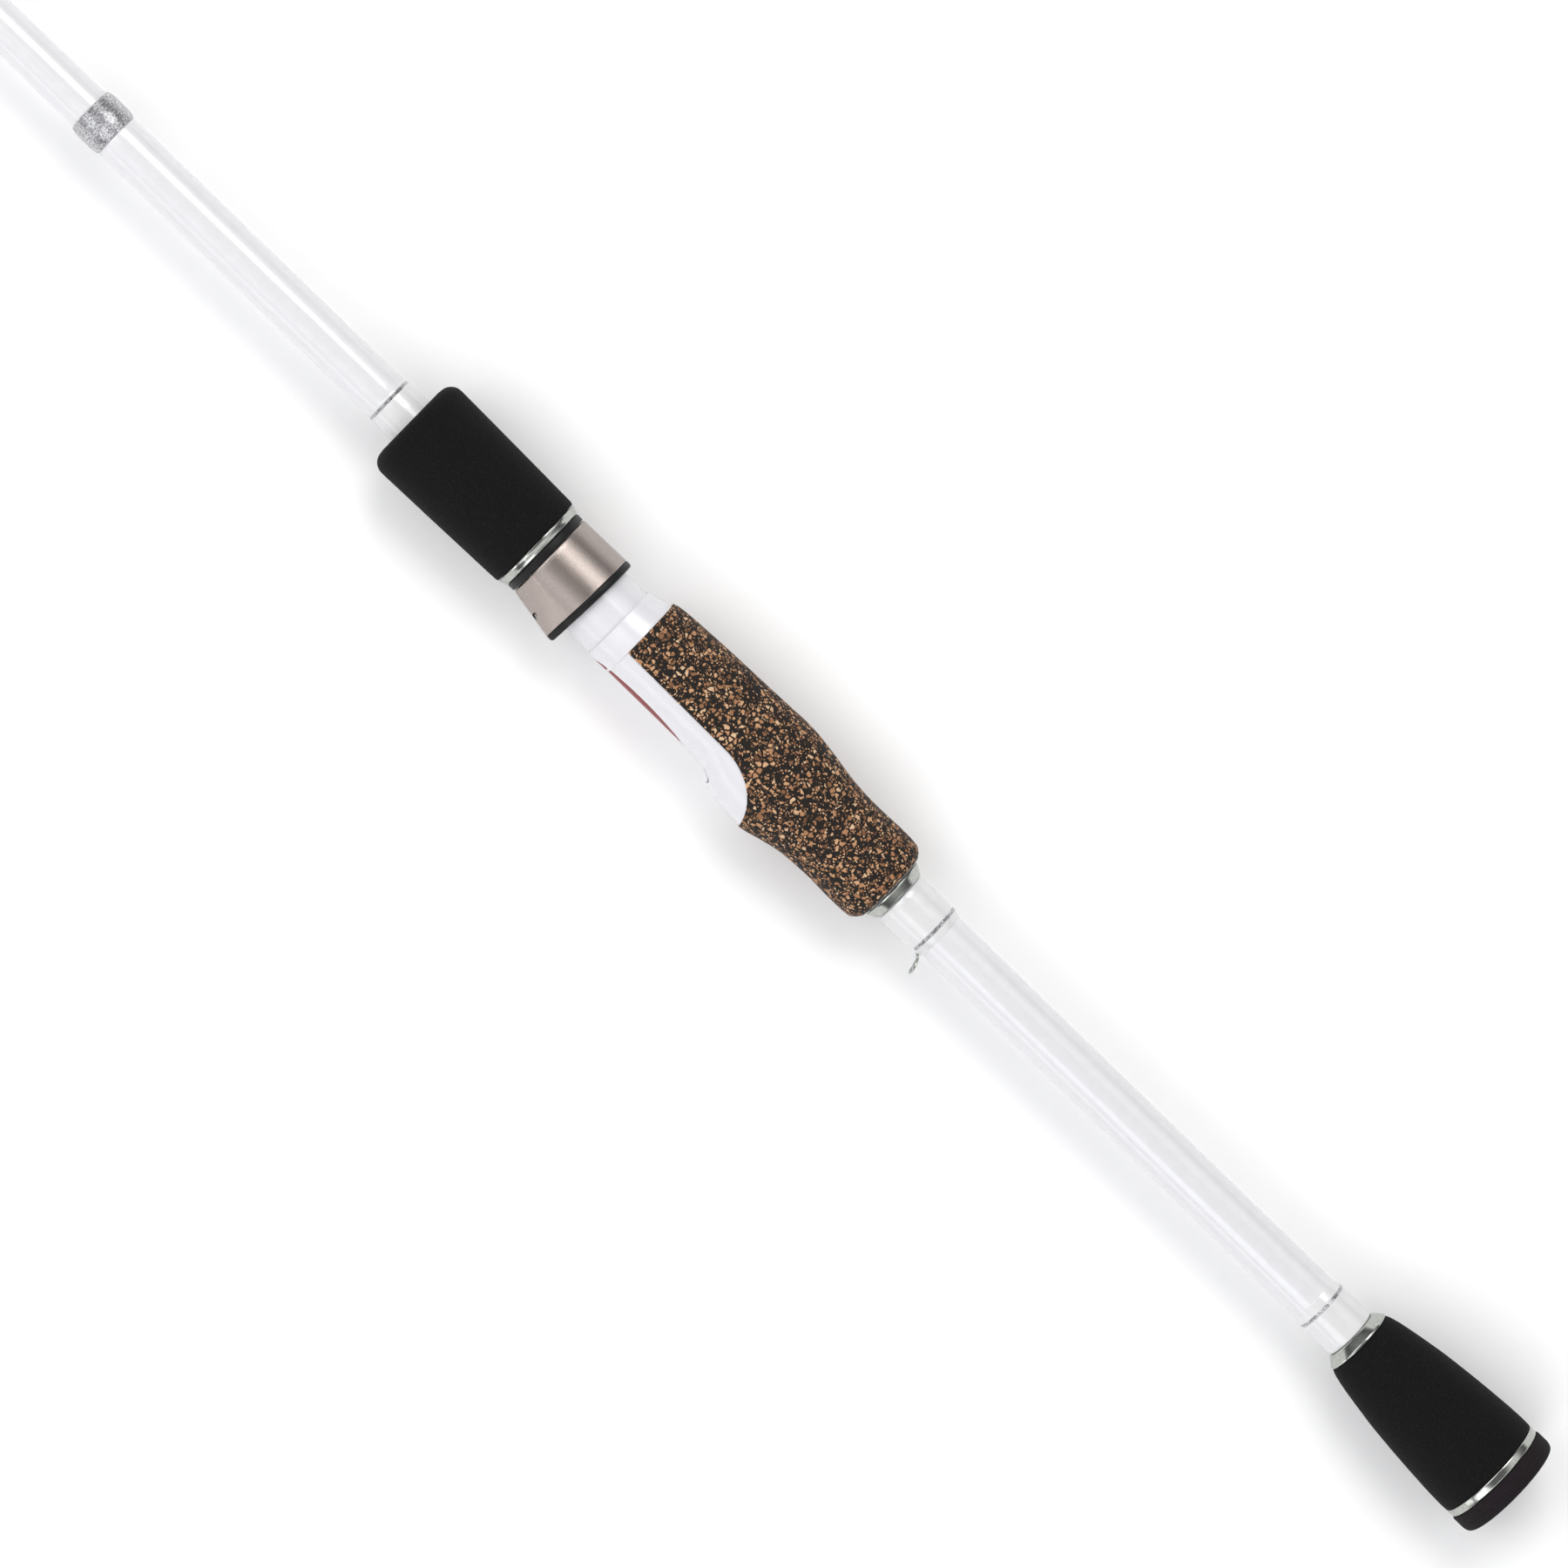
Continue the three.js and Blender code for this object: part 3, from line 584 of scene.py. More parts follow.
def butt_grip():
    profile = softened([(0, 0), (0, 12.7), (0.45, 13.6), (1.6, 14.0), (5.25, 13.98), (5.25, 4.9),
                        (15, 4.6), (15, 0)],
                       0.7)
    turned("butt_end_cap", profile, CAP, ["butt_cap"], slot="black_foam")
    ring = [(5.32, 13.6), (5.6, 13.76), (7.1, 13.76), (7.35, 13.6)]
    sleeve("butt_ring", ring, 6.3, POLISHED, ["butt_trim_ring"], soft=0.15, slot="polished")
    grip = [(x, eased(BUTT_GRIP, x)) for x in steps(7.45, 49.1, 1.0)]
    outside = [(7.4, 13.4), *grip, (49.2, 8.4)]
    sleeve("butt_grip_foam", outside, 6.2, FOAM, ["butt_grip"], soft=0.3, slot="black_foam")
    cone = [(49.3, 8.35), (49.45, 8.75), (49.9, 8.7), (51.8, 7.1), (52.0, 6.85)]
    sleeve("butt_cone", cone, 6.2, POLISHED, ["butt_grip_check"], soft=0.12, slot="polished")


def foregrip():
    sides = softened([(314.6, 12.2), (315.2, 12.4), (335, 12.85), (350.5, 13.15)], 0.4)
    quarter = [i * math.pi / 20 for i in range(1, 11)]
    corner = [(350.9 + 3.4 * math.sin(a), 9.75 + 3.4 * math.cos(a)) for a in quarter]
    inner = [(354.4, 9.2), (354.4, 6.9), (349.4, 6.9), (349.4, 10.9), (314.5, 10.9)]
    turned("foregrip_foam", [*sides, *corner, *inner], FOAM, ["foregrip"], closed=True, body="foregrip",
           slot="black_foam")
    ring = [(312.5, 11.45), (312.6, 11.65), (313.1, 11.75), (313.9, 12.12), (314.35, 12.14), (314.4, 12.0)]
    sleeve("foregrip_ring", ring, 9.9, POLISHED, ["foregrip_check"], soft=0.1, body="foregrip",
           slot="polished")
    collar = [(310.4, 11.15), (310.55, 11.38), (312.1, 11.38), (312.35, 11.2)]
    sleeve("thread_collar", collar, 9.9, BLACK, ["nut_collar"], soft=0.15, body="foregrip",
           slot="black_plastic")
    sleeve("locking_nut", [(314.6, 10.8), (340, 10.8)], 9.75, BLACK, ["lock_nut"], body="foregrip",
           slot="black_plastic")


# ---- hook keeper ------------------------------------------------------------------------------

def hook_keeper():
    parts = ([], [])
    top = 11.35
    loop = [
        (196, 6.35, 0.75), (190, 6.42, 0.8), (186.2, 6.6, 0.85), (184.9, 7.3, 0.95), (184.3, 8.6, 1.75),
        (183.95, 9.9, 1.95), (183.85, 10.75, 1.3), (183.8, top - 0.32, 0),
    ]
    wire = loop + [(x, y, -z) for x, y, z in loop[-2::-1]]
    tube("", wire, 0.3, POLISHED, join_to=parts)
    piece("keeper_wire", *parts, POLISHED, ["hook_keeper"], slot="polished", sharp=50)

    sections = []
    for x, back, front in [
        (184.6, 6.08, 6.2), (185.2, 6.3, 6.75), (186.2, 6.6, 7.0), (187.2, 6.68, 7.1), (191, 6.7, 7.12),
        (196, 6.7, 7.05), (197.2, 6.68, 6.85), (197.6, 6.45, 6.5),
    ]:
        section = []
        for k in range(SIDES):
            a = 2 * math.pi * k / SIDES
            bump = math.exp(-((min(a, 2 * math.pi - a) / 0.28) ** 2))
            r = back + (front - back) * bump
            section.append((x, r * math.cos(a), r * math.sin(a)))
        sections.append(section)
    lofted("keeper_wrapping", sections, WRAP, ["keeper_wrap"], slot="white_lacquer", sharp=50)
    thread_band("keeper_thread", 186.5, 187.3, 6.78, ["keeper_trim_band"])


# ---- reel seat --------------------------------------------------------------------------------

GRIP_BACK = [
    (200.9, 9.2), (201.6, 10.2), (202.6, 11.0), (203.6, 11.3), (207.6, 11.5), (213.6, 11.35), (217.6, 11.35),
    (221.6, 11.55), (225.6, 12.0), (229.6, 12.7), (233.6, 13.3), (237.6, 13.8), (241.6, 13.95), (245.6, 13.8),
    (253.6, 13.6), (261.6, 13.4), (269.6, 13.15), (277.6, 12.75), (281.4, 12.3), (282.0, 12.0),
]
GRIP_SIDE = [
    (200.9, 9.2), (201.6, 10.2), (202.6, 11.0), (203.6, 11.3), (210, 11.3), (217, 11.2), (226, 11.5),
    (236, 12.1), (246, 12.25), (260, 12.05), (272, 11.8), (281.4, 11.5), (282.0, 11.2),
]
GRIP_FRONT = [
    (200.9, 9.2), (201.6, 10.2), (202.6, 11.1), (203.6, 11.45), (209.6, 11.6), (215.6, 11.4), (221.6, 11.6),
    (225.6, 12.0), (230.6, 13.15), (233.5, 13.95), (236, 14.3), (239, 14.1), (243, 13.75), (246, 13.3),
    (248.6, 12.5), (252.6, 10.8), (255.6, 10.42), (282.0, 10.3),
]


def oval(angle, back, side, front):
    reach = front if math.cos(angle) > 0 else back
    return 1 / math.hypot(math.cos(angle) / reach, math.sin(angle) / side)


def grip_radius(angle, x):
    return oval(angle, eased(GRIP_BACK, x), eased(GRIP_SIDE, x), eased(GRIP_FRONT, x))


def seam():
    """The cork's edge beside the white shell, seen from the side, as (x, y) from its top towards the tip."""
    p = [(235.5, 15.2), (236.6, 9.6), (241.2, 4.6), (249.5, 3.75)]
    points = []
    for i in range(25):
        t = i / 24
        w = [(1 - t) ** 3, 3 * t * (1 - t) ** 2, 3 * t * t * (1 - t), t**3]
        points.append(tuple(sum(wk * pk[c] for wk, pk in zip(w, p)) for c in (0, 1)))
    return points + [(x, 3.75 - 0.4 * (x - 249.5) / 32.5) for x in steps(251, 282, 1.2)]


def cork_grip():
    inner = 9.15
    edge = [(x, 99.0) for x in steps(200.9, 235.2, 0.8)] + seam()
    sections = []
    for x, y in edge:
        reach = grip_radius(0, x)
        start = 0.0
        for _ in range(12 if y < reach else 0):
            start = math.acos(min(1.0, y / grip_radius(start, x)))
        section = []
        count = 150
        for k in range(count + 1):
            a = start + (2 * math.pi - 2 * start) * k / count
            r = grip_radius(a, x)
            section.append((x, r * math.cos(a), r * math.sin(a)))
        if start > 0:
            for a in (start, 2 * math.pi - start):
                point = (x, inner * math.cos(a), inner * math.sin(a))
                section.insert(0 if a == start else len(section), point)
        else:
            section = [section[0], *section, section[-1]]
        sections.append(section)
    columns = len(sections[0])
    verts = [v for section in sections for v in section]
    faces = grid_faces(len(sections), columns, closed_columns=False)
    rows = len(sections)
    base = len(verts)
    for row in (0, rows - 1):
        for v in sections[row]:
            angle = math.atan2(v[2], v[1])
            verts.append((v[0], inner * math.cos(angle), inner * math.sin(angle)))
    for side, row in ((0, 0), (1, rows - 1)):
        for j in range(columns - 1):
            a, b = row * columns + j, row * columns + j + 1
            c, d = base + side * columns + j + 1, base + side * columns + j
            faces.append((a, b, c, d))
    piece("cork_handle", verts, faces, CORK, ["seat_cork_grip"], slot="rubber_cork", sharp=38)


LEDGE_Y = 7.3


def shell_radius(angle, x):
    r = grip_radius(angle, x) - 0.3
    if x > 282:
        side = lerp([(282, 11.3), (283, 11.2), (288.2, 10.2)], x)
        back = lerp([(282, 11.2), (283, 11.1), (288.2, 10.1)], x)
        r = oval(angle, back, side, 10.1)
    if math.cos(angle) > 0:
        y = r * math.cos(angle)
        blend = lerp([(LEDGE_Y - 0.25, 0.0), (LEDGE_Y + 0.25, 1.0)], y)
        reach = lerp([(252, 0.0), (257, 1.0), (284.5, 1.0), (287.5, 0.3), (288.2, 0.2)], x)
        r -= 0.42 * blend * reach
    return r


def cutter(name, verts, faces):
    mesh = bpy.data.meshes.new(name)
    mesh.from_pydata([tuple(c * MM for c in v) for v in verts], [], faces)
    bm = bmesh.new()
    bm.from_mesh(mesh)
    bmesh.ops.recalc_face_normals(bm, faces=bm.faces)
    bm.to_mesh(mesh)
    bm.free()
    obj = bpy.data.objects.new(name, mesh)
    bpy.context.scene.collection.objects.link(obj)
    return obj


def cut_away(obj, tool):
    """Takes the tool's space out of obj and drops the tool."""
    cut = obj.modifiers.new("cut", "BOOLEAN")
    cut.operation = "DIFFERENCE"
    cut.solver = "EXACT"
    cut.object = tool
    shape = obj.evaluated_get(bpy.context.evaluated_depsgraph_get())
    mesh = bpy.data.meshes.new_from_object(shape)
    obj.modifiers.clear()
    obj.data = mesh
    bpy.data.objects.remove(tool)
    mesh.set_sharp_from_angle(angle=math.radians(35))


def reel_seat():
    stations = steps(234.6, 247, 0.6) + steps(247.4, 258, 0.4) + steps(259, 281, 1.0)
    stations += [281.8, 282.1, 282.6, 284, 286, 287.6, 288.0, 288.2]
    sections = []
    for x in stations:
        section = []
        for k in range(180):
            a = 2 * math.pi * k / 180
            r = shell_radius(a, x)
            if x == 288.2:
                r -= 0.2
            section.append((x, r * math.cos(a), r * math.sin(a)))
        sections.append(section)
    shell = lofted("seat_shell", sections, SEAT, ["reel_seat_body"], slot="seat_white", sharp=30)

    cut_away(shell, foot_pocket())

    core = [(200.8, 7.5), (200.8, 8.6), (201.4, 9.0), (240, 9.0), (286, 9.0)]
    core += softened([(286, 9.42), (290, 9.45), (303.6, 9.5), (304.2, 9.25)], 0.3)
    core += [(343, 8.7), (343, 7.5)]
    turned("seat_tube", core, SEAT, closed=True, slot="seat_white")
    barrel_thread()
    cone = [(197.8, 6.75), (197.9, 7.0), (198.3, 7.2), (200.0, 8.2), (200.35, 8.3), (200.45, 8.1)]
    sleeve("seat_cone", cone, 6.1, POLISHED, ["seat_rear_check"], soft=0.12, slot="polished")
    for place, x0 in (("rear", 206), ("middle", 258), ("front", 322)):
        outside = [(x0, 7.35), (x0 + 16, 7.35)]
        sleeve(f"arbor_{place}", outside, 6.1, ARBOR, [f"seat_arbor_{place}"], soft=0.4, slot="grey_foam")
    seat_stripe()


def foot_pocket():
    """The space of the fixed hood's pocket for the reel's foot, open towards the tip."""
    columns = 24
    sizes_along = [(240, 10.3, 11.2, 3.6), (243, 10.15, 12.0, 4.6), (248, 10.15, 12.35, 5.0),
                   (258, 10.15, 13.5, 5.4)]
    rows = []
    for x, low, high, half in sizes_along:
        row = []
        for k in range(columns):
            a = math.pi * k / (columns - 1)
            row.append((x, low + (high - low) * math.sin(a) ** 0.6, half * math.cos(a)))
        rows.append(row)
    verts = [v for row in rows for v in row]
    faces = grid_faces(len(rows), columns)
    last = len(verts) - 1
    faces += [tuple(range(columns)), tuple(range(last, last - columns, -1))]
    return cutter("pocket", verts, faces)


def seat_stripe():
    """A plain red stripe, let into the platform."""
    start, length, half_width, thick = 258, 28.5, 5.6, 0.12
    count = 25
    rows = []
    for i in range(count):
        t = i / (count - 1)
        x = start + length * t
        half = max(0.02, half_width * math.sin(math.pi * t) ** 0.45)
        rows.append([])
        for k in range(count):
            z = half * (2 * k / (count - 1) - 1)
            a = math.atan2(z, 10.2)
            r = shell_radius(a, x) + 0.03
            rows[-1].append((x, r * math.cos(a), r * math.sin(a)))
    verts = [v for row in rows for v in row]
    under = [(x, y - thick, z * 0.99) for x, y, z in verts]
    total = len(verts)
    faces = grid_faces(count, count, closed_columns=False)
    faces += [tuple(i + total for i in reversed(face)) for face in faces]
    last = count - 1
    rim = list(range(count)) + [count * i + last for i in range(1, count)]
    rim += [count * last + k for k in range(last - 1, -1, -1)]
    rim += [count * i for i in range(last - 1, 0, -1)]
    faces += [(a, b, b + total, a + total) for a, b in zip(rim, rim[1:] + rim[:1])]
    piece("seat_stripe", verts + under, faces, RED, slot="seat_white")


def barrel_thread():
    """The screw thread on the barrel, 2 mm pitch."""
    rows = []
    for i, x in enumerate(steps(304.6, 342.6, 0.2)):
        row = []
        for k in range(72):
            a = 2 * math.pi * k / 72
            phase = (x / 2.0 - a / (2 * math.pi)) % 1.0
            height = min(1.0, max(0.0, 1.6 * (0.5 - abs(phase - 0.5)) / 0.5 - 0.3))
            ends = min(1.0, (x - 304.6) / 1.5, (342.6 - x) / 1.0)
            r = 8.75 + 0.53 * height * max(0.0, ends)
            row.append((x, r * math.cos(a), r * math.sin(a)))
        rows.append(row)
    lofted("barrel_screw", rows, SEAT, slot="seat_white", sharp=60)


# ---- sliding hood -----------------------------------------------------------------------------

MOUTH, NOSE = 297.2, 310.2


def hood_section(x, inset=0.0, lean=0.04):
    """Half cylinder away from the reel, and a hump with two flat flanks towards it."""
    share = (NOSE - x) / (NOSE - MOUTH)
    round_r = 11.4 + 0.2 * share
    crease_y = 6.0 + 2.7 * min(1, max(0, share)) ** 1.5
    top_y = 11.32 + 2.36 * min(1, max(0, share))
    top_half = 2.3 + 1.2 * share
    start = math.acos(crease_y / round_r)
    crease = Vector((crease_y, round_r * math.sin(start)))
    ridge = Vector((top_y - 0.25, top_half))
    side = []
    for k in range(13):
        t = k / 12
        point = crease.lerp(ridge, t)
        outward = Vector((ridge.y - crease.y, -(ridge.x - crease.x))).normalized()
        side.append(point - outward * (0.28 * math.sin(math.pi * t)))
    crown = [Vector((top_y - 0.25 * (k / 5) ** 2, top_half * k / 5)) for k in range(5, -1, -1)]
    half = side + crown[1:]
    back = [
        Vector((round_r * math.cos(a), round_r * math.sin(a)))
        for a in [start + (math.pi - start) * k / 48 for k in range(48, 0, -1)]
    ]
    upper = back + half
    outline = upper + [Vector((p.x, -p.y)) for p in reversed(upper[1:-1])]
    points = []
    for p in outline:
        q = p * (1 - inset / p.length)
        points.append((x + lean * q.x * min(1, max(0, share)), q.x, q.y))
    return points


def hollow(name, outer, inner, material, nodes, **where):
    """A tube between two lofted skins."""
    rows = outer + inner[::-1]
    verts = [v for row in rows for v in row]
    faces = grid_faces(len(rows), len(rows[0]), closed_rows=True)
    return piece(name, verts, faces, material, nodes, **where)


def bore_section(x, radius):
    share = min(1, max(0, (NOSE - x) / (NOSE - MOUTH)))
    count = len(hood_section(x))
    points = []
    for p in hood_section(x):
        a = math.atan2(p[2], p[1])
        y = radius * math.cos(a)
        points.append((x + 0.04 * y * share, y, radius * math.sin(a)))
    return points


def sliding_hood():
    xs = [MOUTH, MOUTH + 0.08, MOUTH + 0.2] + steps(298, 309.7, 0.9) + [309.95, 310.12, NOSE]
    insets = [0.16, 0.05, 0.0] + [0.0] * (len(xs) - 6) + [0.05, 0.14, 0.3]
    outer = [hood_section(x, inset) for x, inset in zip(xs, insets)]
    inner = [hood_section(x, 0.9) for x in (MOUTH, 309.2)]
    inner += [bore_section(309.3, 9.95), bore_section(NOSE, 9.95)]
    hollow("hood_metal", outer, inner, GUNMETAL, ["hood_shell"], body="hood", slot="gunmetal", sharp=22)

    lip = [(295.45, 0.75), (295.5, 0.4), (295.7, 0.12), (296.1, 0.0), (296.9, 0.0), (297.1, 0.08),
           (297.15, 0.95)]
    outer = [hood_section(x, inset) for x, inset in lip] + [hood_section(309, 1.05)]
    pocket = [hood_section(x, 2.1) for x in (295.5, 304)]
    bore = [bore_section(305, 9.95), bore_section(309, 9.95)]
    inner = []
    for row in pocket:
        x = row[0][0]
        ring = bore_section(295.5 if row is pocket[0] else 304, 9.95)
        inner.append([p if p[1] > 8.9 and abs(p[2]) < 5.5 else q for p, q in zip(row, ring)])
    hollow("hood_lining", outer, inner + bore, BLACK, ["hood_liner"], body="hood",
           slot="black_plastic", sharp=30)

    # A small rounded black oval in the hood's flank on each side: painted shade, a black stud with a raised
    # rim standing for the dark inside a small slot.
    for side in (1, -1):
        section = hood_section(302.6)
        flank = [p for p in section if p[2] * side > 0 and p[1] > 9.5]
        spot = min(flank, key=lambda p: abs(p[1] - 12.1))
        parts = ([], [])
        outward = Vector((0, 0.72, 0.69 * side)).normalized()
        across = Vector((1, 0, 0))
        up = outward.cross(across)
        centre = Vector((302.6, spot[1], spot[2]))
        rings = [(0.0, 1.0), (0.1, 0.96), (0.14, 0.86), (0.04, 0.75), (-0.2, 0.7)]
        for depth, size in [(-0.6, 1.0), *rings]:
            for k in range(28):
                a = 2 * math.pi * k / 28
                u = 0.55 * math.copysign(1, math.cos(a)) * (abs(math.cos(a)) > 1e-6) + 0.55 * math.cos(a)
                w = 0.62 * math.sin(a)
                point = centre + outward * depth + across * (u * size) + up * (w * size)
                parts[0].append(tuple(point))
        parts[1].extend(grid_faces(6, 28))
        parts[1].append(tuple(range(28)))
        parts[1].append(tuple(range(167, 139, -1)))
        name = "hood_slot_shade_near" if side > 0 else "hood_slot_shade_far"
        # painted shade: the black of this stud stands for the shade in a slot
        piece(name, *parts, BLACK, body="hood", slot="black_plastic")


# ---- line guides ------------------------------------------------------------------------------

GUIDES = [
    (884, 20, 15, 27, 0.7, 2), (1160, 12, 8.6, 16.5, 0.6, 2), (1372, 9, 6.2, 11.5, 0.5, 1),
    (1546, 7, 4.6, 9, 0.45, 1), (1694, 6, 3.9, 7.6, 0.4, 1), (1822, 6, 3.9, 7.2, 0.4, 1),
    (1936, 6, 3.9, 6.9, 0.4, 1), (2040, 6, 3.9, 6.6, 0.4, 1),
]
FOOT = 13
FOOT_THICK = 0.5
RING_SHRINK = 0.97  # keeps a round ring within the frame's faceted one


def foot_wrapping(name, start, way, top, node, body):
    """Thread over a foot, hugging the blank away from it."""
    first, last = start + way * 3.2, start + way * (FOOT + 2.5)
    sections = []
    for t in [0, 0.02, 0.06, 0.12, 0.3, 0.55, 0.75, 0.86, 0.94, 0.98, 1.0]:
        x = first + (last - first) * t
        ends = min(1.0, t / 0.06 if t < 0.5 else 1.0, (1 - t) / 0.08 if t > 0.5 else 1.0)
        r0 = blank_radius(x)
        skin = r0 + 0.02 + 0.26 * math.sqrt(max(0.0, ends))
        crest = max(skin, r0 + (top + 0.28 - r0) * math.sqrt(max(0.0, ends)) * (1 - 0.5 * t**3))
        width = 1.15 / r0
        section = []
        for k in range(64):
            a = 2 * math.pi * k / 64
            off = min(a, 2 * math.pi - a)
            r = skin + (crest - skin) * math.exp(-((off / width) ** 2))
            section.append((x, r * math.cos(a), r * math.sin(a)))
        sections.append(section)
    lofted(name, sections, WRAP, [node], body=body, slot="white_lacquer", sharp=50)
    x = first + way * 0.9
    profile = [(x, blank_radius(x) + 0.1), (x, blank_radius(x) + 0.36), (x + 0.5, blank_radius(x) + 0.36),
               (x + 0.5, blank_radius(x) + 0.1)]
    sides = 40
    turned(f"{name}_trim", softened(profile, 0.1, closed=True), THREAD, closed=True, sides=sides, body=body,
           slot="silver_thread")


def insert_profile(at, outer, inner, half):
    """A rounded ceramic ring's outline, about x = at."""
    middle, thick = (outer + inner) / 2, (outer - inner) / 2
    points = []
    for i in range(20):
        a = 2 * math.pi * i / 20
        reach = half * math.copysign(abs(math.sin(a)) ** 0.75, math.sin(a))
        points.append((at + reach, middle + thick * math.cos(a)))
    return points


def line_guides():
    for number, (x, outer, inner, height, wire, feet) in enumerate(GUIDES, 1):
        body = "handle" if number == 1 else "tip_section"
        hoop_radius = outer / 2 + wire
        clear = max(4, (height - hoop_radius) * 0.7)
        parts = ([], [])
        add_torus(parts, x, height, hoop_radius * RING_SHRINK, wire)
        for way, place in ((1, "front"), (-1, "rear"))[:feet]:
            start = x + way * clear
            low = blank_radius(start) + 0.12
            top = low + FOOT_THICK
            bottom = low + wire * 0.9
            for side in (1, -1):
                points = [
                    (x, height, side * hoop_radius),
                    (x + way * clear * 0.2, height * 0.55 + bottom * 0.45, side * hoop_radius * 0.72),
                    (x + way * clear * 0.75, bottom + 1, side * 0.9),
                    (start + way * 1.5, bottom, side * 0.35),
                ]
                tube("", points, wire * 0.85, GUIDE_WIRE, join_to=parts)
            add_strap(parts, start, start + way * FOOT, low, top, 0.85)
            node = f"guide_{number}_{place}_wrap"
            foot_wrapping(f"guide_{number}_{place}_wrapping", start, way, top, node, body)
        piece(f"guide_{number}_wire", *parts, GUIDE_WIRE, [f"guide_{number}_frame"], body=body,
              slot="guide_wire", sharp=50)
        half = max(0.8, (outer - inner) * 0.225)
        turned(f"guide_{number}_insert", insert_profile(x, outer / 2, inner / 2, half), CERAMIC,
               [f"guide_{number}_ring"], closed=True, sides=64, y=height, body=body,
               slot="guide_ceramic", sharp=60)


def tip_top():
    height, hoop = 3.6, 3.4
    parts = ([], [])
    add_torus(parts, 2134, height, hoop, 0.4)
    for side in (1, -1):
        points = [(2118, 1.3, side * 1.1), (2126, 1.5, side * 1.4), (2131, 2.3, side * 2.6),
                  (2134, height, side * hoop)]
        tube("", points, 0.38, GUIDE_WIRE, join_to=parts)
    base = len(parts[0])
    loop = softened([(2117, 0.95), (2117, 1.6), (2131, 1.6), (2131, 0.95)], 0.25, closed=True)
    parts[0].extend(v for x, r in loop for v in circle(x, r, 40))
    parts[1].extend(tuple(i + base for i in face) for face in grid_faces(len(loop), 40, closed_rows=True))
    piece("tip_top_wire", *parts, GUIDE_WIRE, ["tip_top_frame"], body="tip_section",
          slot="guide_wire", sharp=50)
    insert = insert_profile(2134, 3, 1.95, 0.8)
    turned("tip_top_insert", insert, CERAMIC, ["tip_top_ring"], closed=True, sides=64, y=height,
           body="tip_section", slot="guide_ceramic", sharp=60)
    outside = [(2106, 1.05), (2106.8, 1.5), (2108, 1.72), (2116, 1.78), (2116.8, 1.62)]
    sleeve("tip_top_wrapping", outside, 0.98, WRAP, ["tip_top_wrap"], soft=0.5, sides=40, body="tip_section",
           slot="white_lacquer")


# ---- stage ------------------------------------------------------------------------------------

FLOOR_HEIGHT = -0.01415  # metres: just under the widest part of the butt cap


def floor():
    size, rows = 30.0, 40
    verts = []
    for i in range(rows + 1):
        for j in range(rows + 1):
            verts.append((size * (i / rows - 0.5), size * (j / rows - 0.5), FLOOR_HEIGHT))
    mesh = bpy.data.meshes.new("floor")
    mesh.from_pydata(verts, [], [
        (i * (rows + 1) + j, (i + 1) * (rows + 1) + j, (i + 1) * (rows + 1) + j + 1, i * (rows + 1) + j + 1)
        for i in range(rows) for j in range(rows)
    ])
    mesh.materials.append(plain_floor())
    obj = bpy.data.objects.new("floor", mesh)
    bpy.context.scene.collection.objects.link(obj)


def area_light(name, place, target, size, power, color=(1, 1, 1), size_y=None):
    data = bpy.data.lights.new(name, "AREA")
    data.shape = "RECTANGLE"
    data.size = size
    data.size_y = size_y or size
    data.energy = power
    data.color = color
    obj = bpy.data.objects.new(name, data)
    obj.location = place
    obj.rotation_euler = (Vector(target) - Vector(place)).to_track_quat("-Z", "Y").to_euler()
    bpy.context.scene.collection.objects.link(obj)


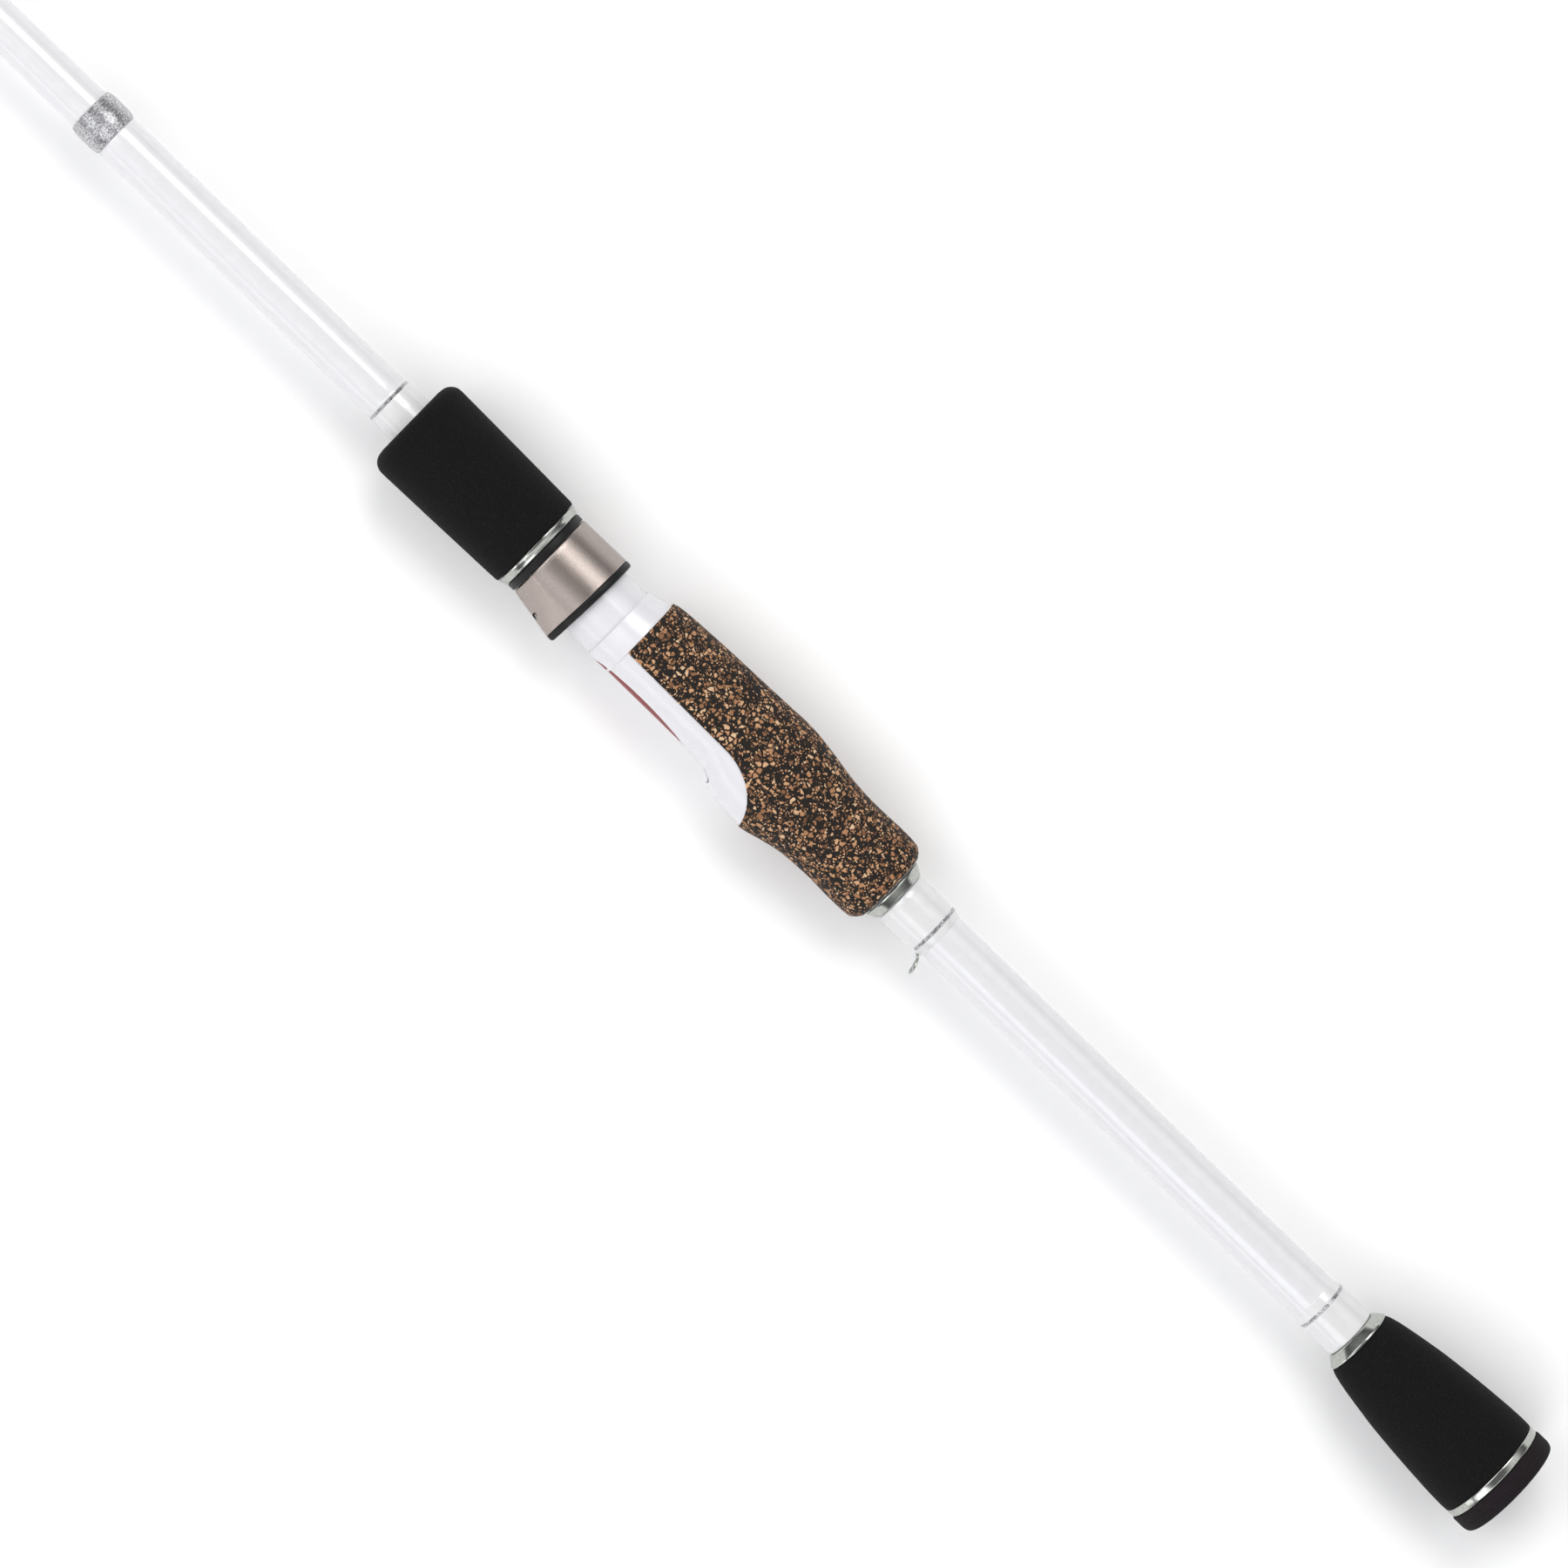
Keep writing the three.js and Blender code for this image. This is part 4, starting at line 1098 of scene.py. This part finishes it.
def lights():
    world = bpy.data.worlds.new("studio")
    world.use_nodes = True
    nodes, links = world.node_tree.nodes, world.node_tree.links
    coords = nodes.new("ShaderNodeTexCoord")
    split = nodes.new("ShaderNodeSeparateXYZ")
    ramp = nodes.new("ShaderNodeValToRGB")
    shift = nodes.new("ShaderNodeMapRange")
    shift.inputs["From Min"].default_value = -1
    links.new(coords.outputs["Generated"], split.inputs[0])
    links.new(split.outputs["Z"], shift.inputs["Value"])
    links.new(shift.outputs["Result"], ramp.inputs["Fac"])
    elements = ramp.color_ramp.elements
    stops = [(0.45, 0.75), (0.56, 0.12), (0.7, 0.4), (0.8, 1.2), (0.91, 1.0), (0.97, 0.22)]
    while len(elements) < len(stops):
        elements.new(0.5)
    for element, (position, value) in zip(elements, stops):
        element.position = position
        element.color = (value, value, value * 1.01, 1)
    links.new(ramp.outputs["Color"], nodes["Background"].inputs["Color"])
    nodes["Background"].inputs["Strength"].default_value = 0.95
    bpy.context.scene.world = world
    area_light("key", (0.9, -1.3, 1.9), (0.25, 0, 0), 1.2, 22, (1, 0.99, 0.97))
    area_light("fill", (-0.7, 1.5, 1.6), (0.25, 0, 0), 1.4, 10, (0.95, 0.97, 1))
    area_light("far", (1.6, 0.6, 1.6), (1.3, 0, 0), 1.6, 13)
    area_light("side", (0.3, 1.5, 0.3), (0.3, 0, 0), 1.2, 3.4, size_y=0.5)


ROD_SLOPE = 44.16  # degrees that the rod slopes down to the right in the picture


def camera():
    data = bpy.data.cameras.new("camera")
    data.sensor_width = 36
    data.lens = 200
    data.clip_end = 60
    obj = bpy.data.objects.new("camera", data)
    place, aim = Vector((0.3496, 0, 2.0)), Vector((0.2349, 0, 0))
    ahead = (aim - place).normalized()
    along = Vector((1, 0, 0))
    along = (along - ahead * along.dot(ahead)).normalized()
    reel_side = Vector((0, 1, 0))
    turn = math.radians(ROD_SLOPE)
    right = -along * math.cos(turn) - reel_side * math.sin(turn)
    up = along * math.sin(turn) - reel_side * math.cos(turn)
    axes = Matrix((right, up, -ahead)).transposed().to_4x4()
    obj.matrix_world = Matrix.Translation(place) @ axes
    bpy.context.scene.collection.objects.link(obj)
    bpy.context.scene.camera = obj
    bpy.context.scene.view_settings.view_transform = "Standard"


blanks()
wraps()
butt_grip()
foregrip()
hook_keeper()
cork_grip()
reel_seat()
sliding_hood()
line_guides()
tip_top()
floor()
lights()
camera()
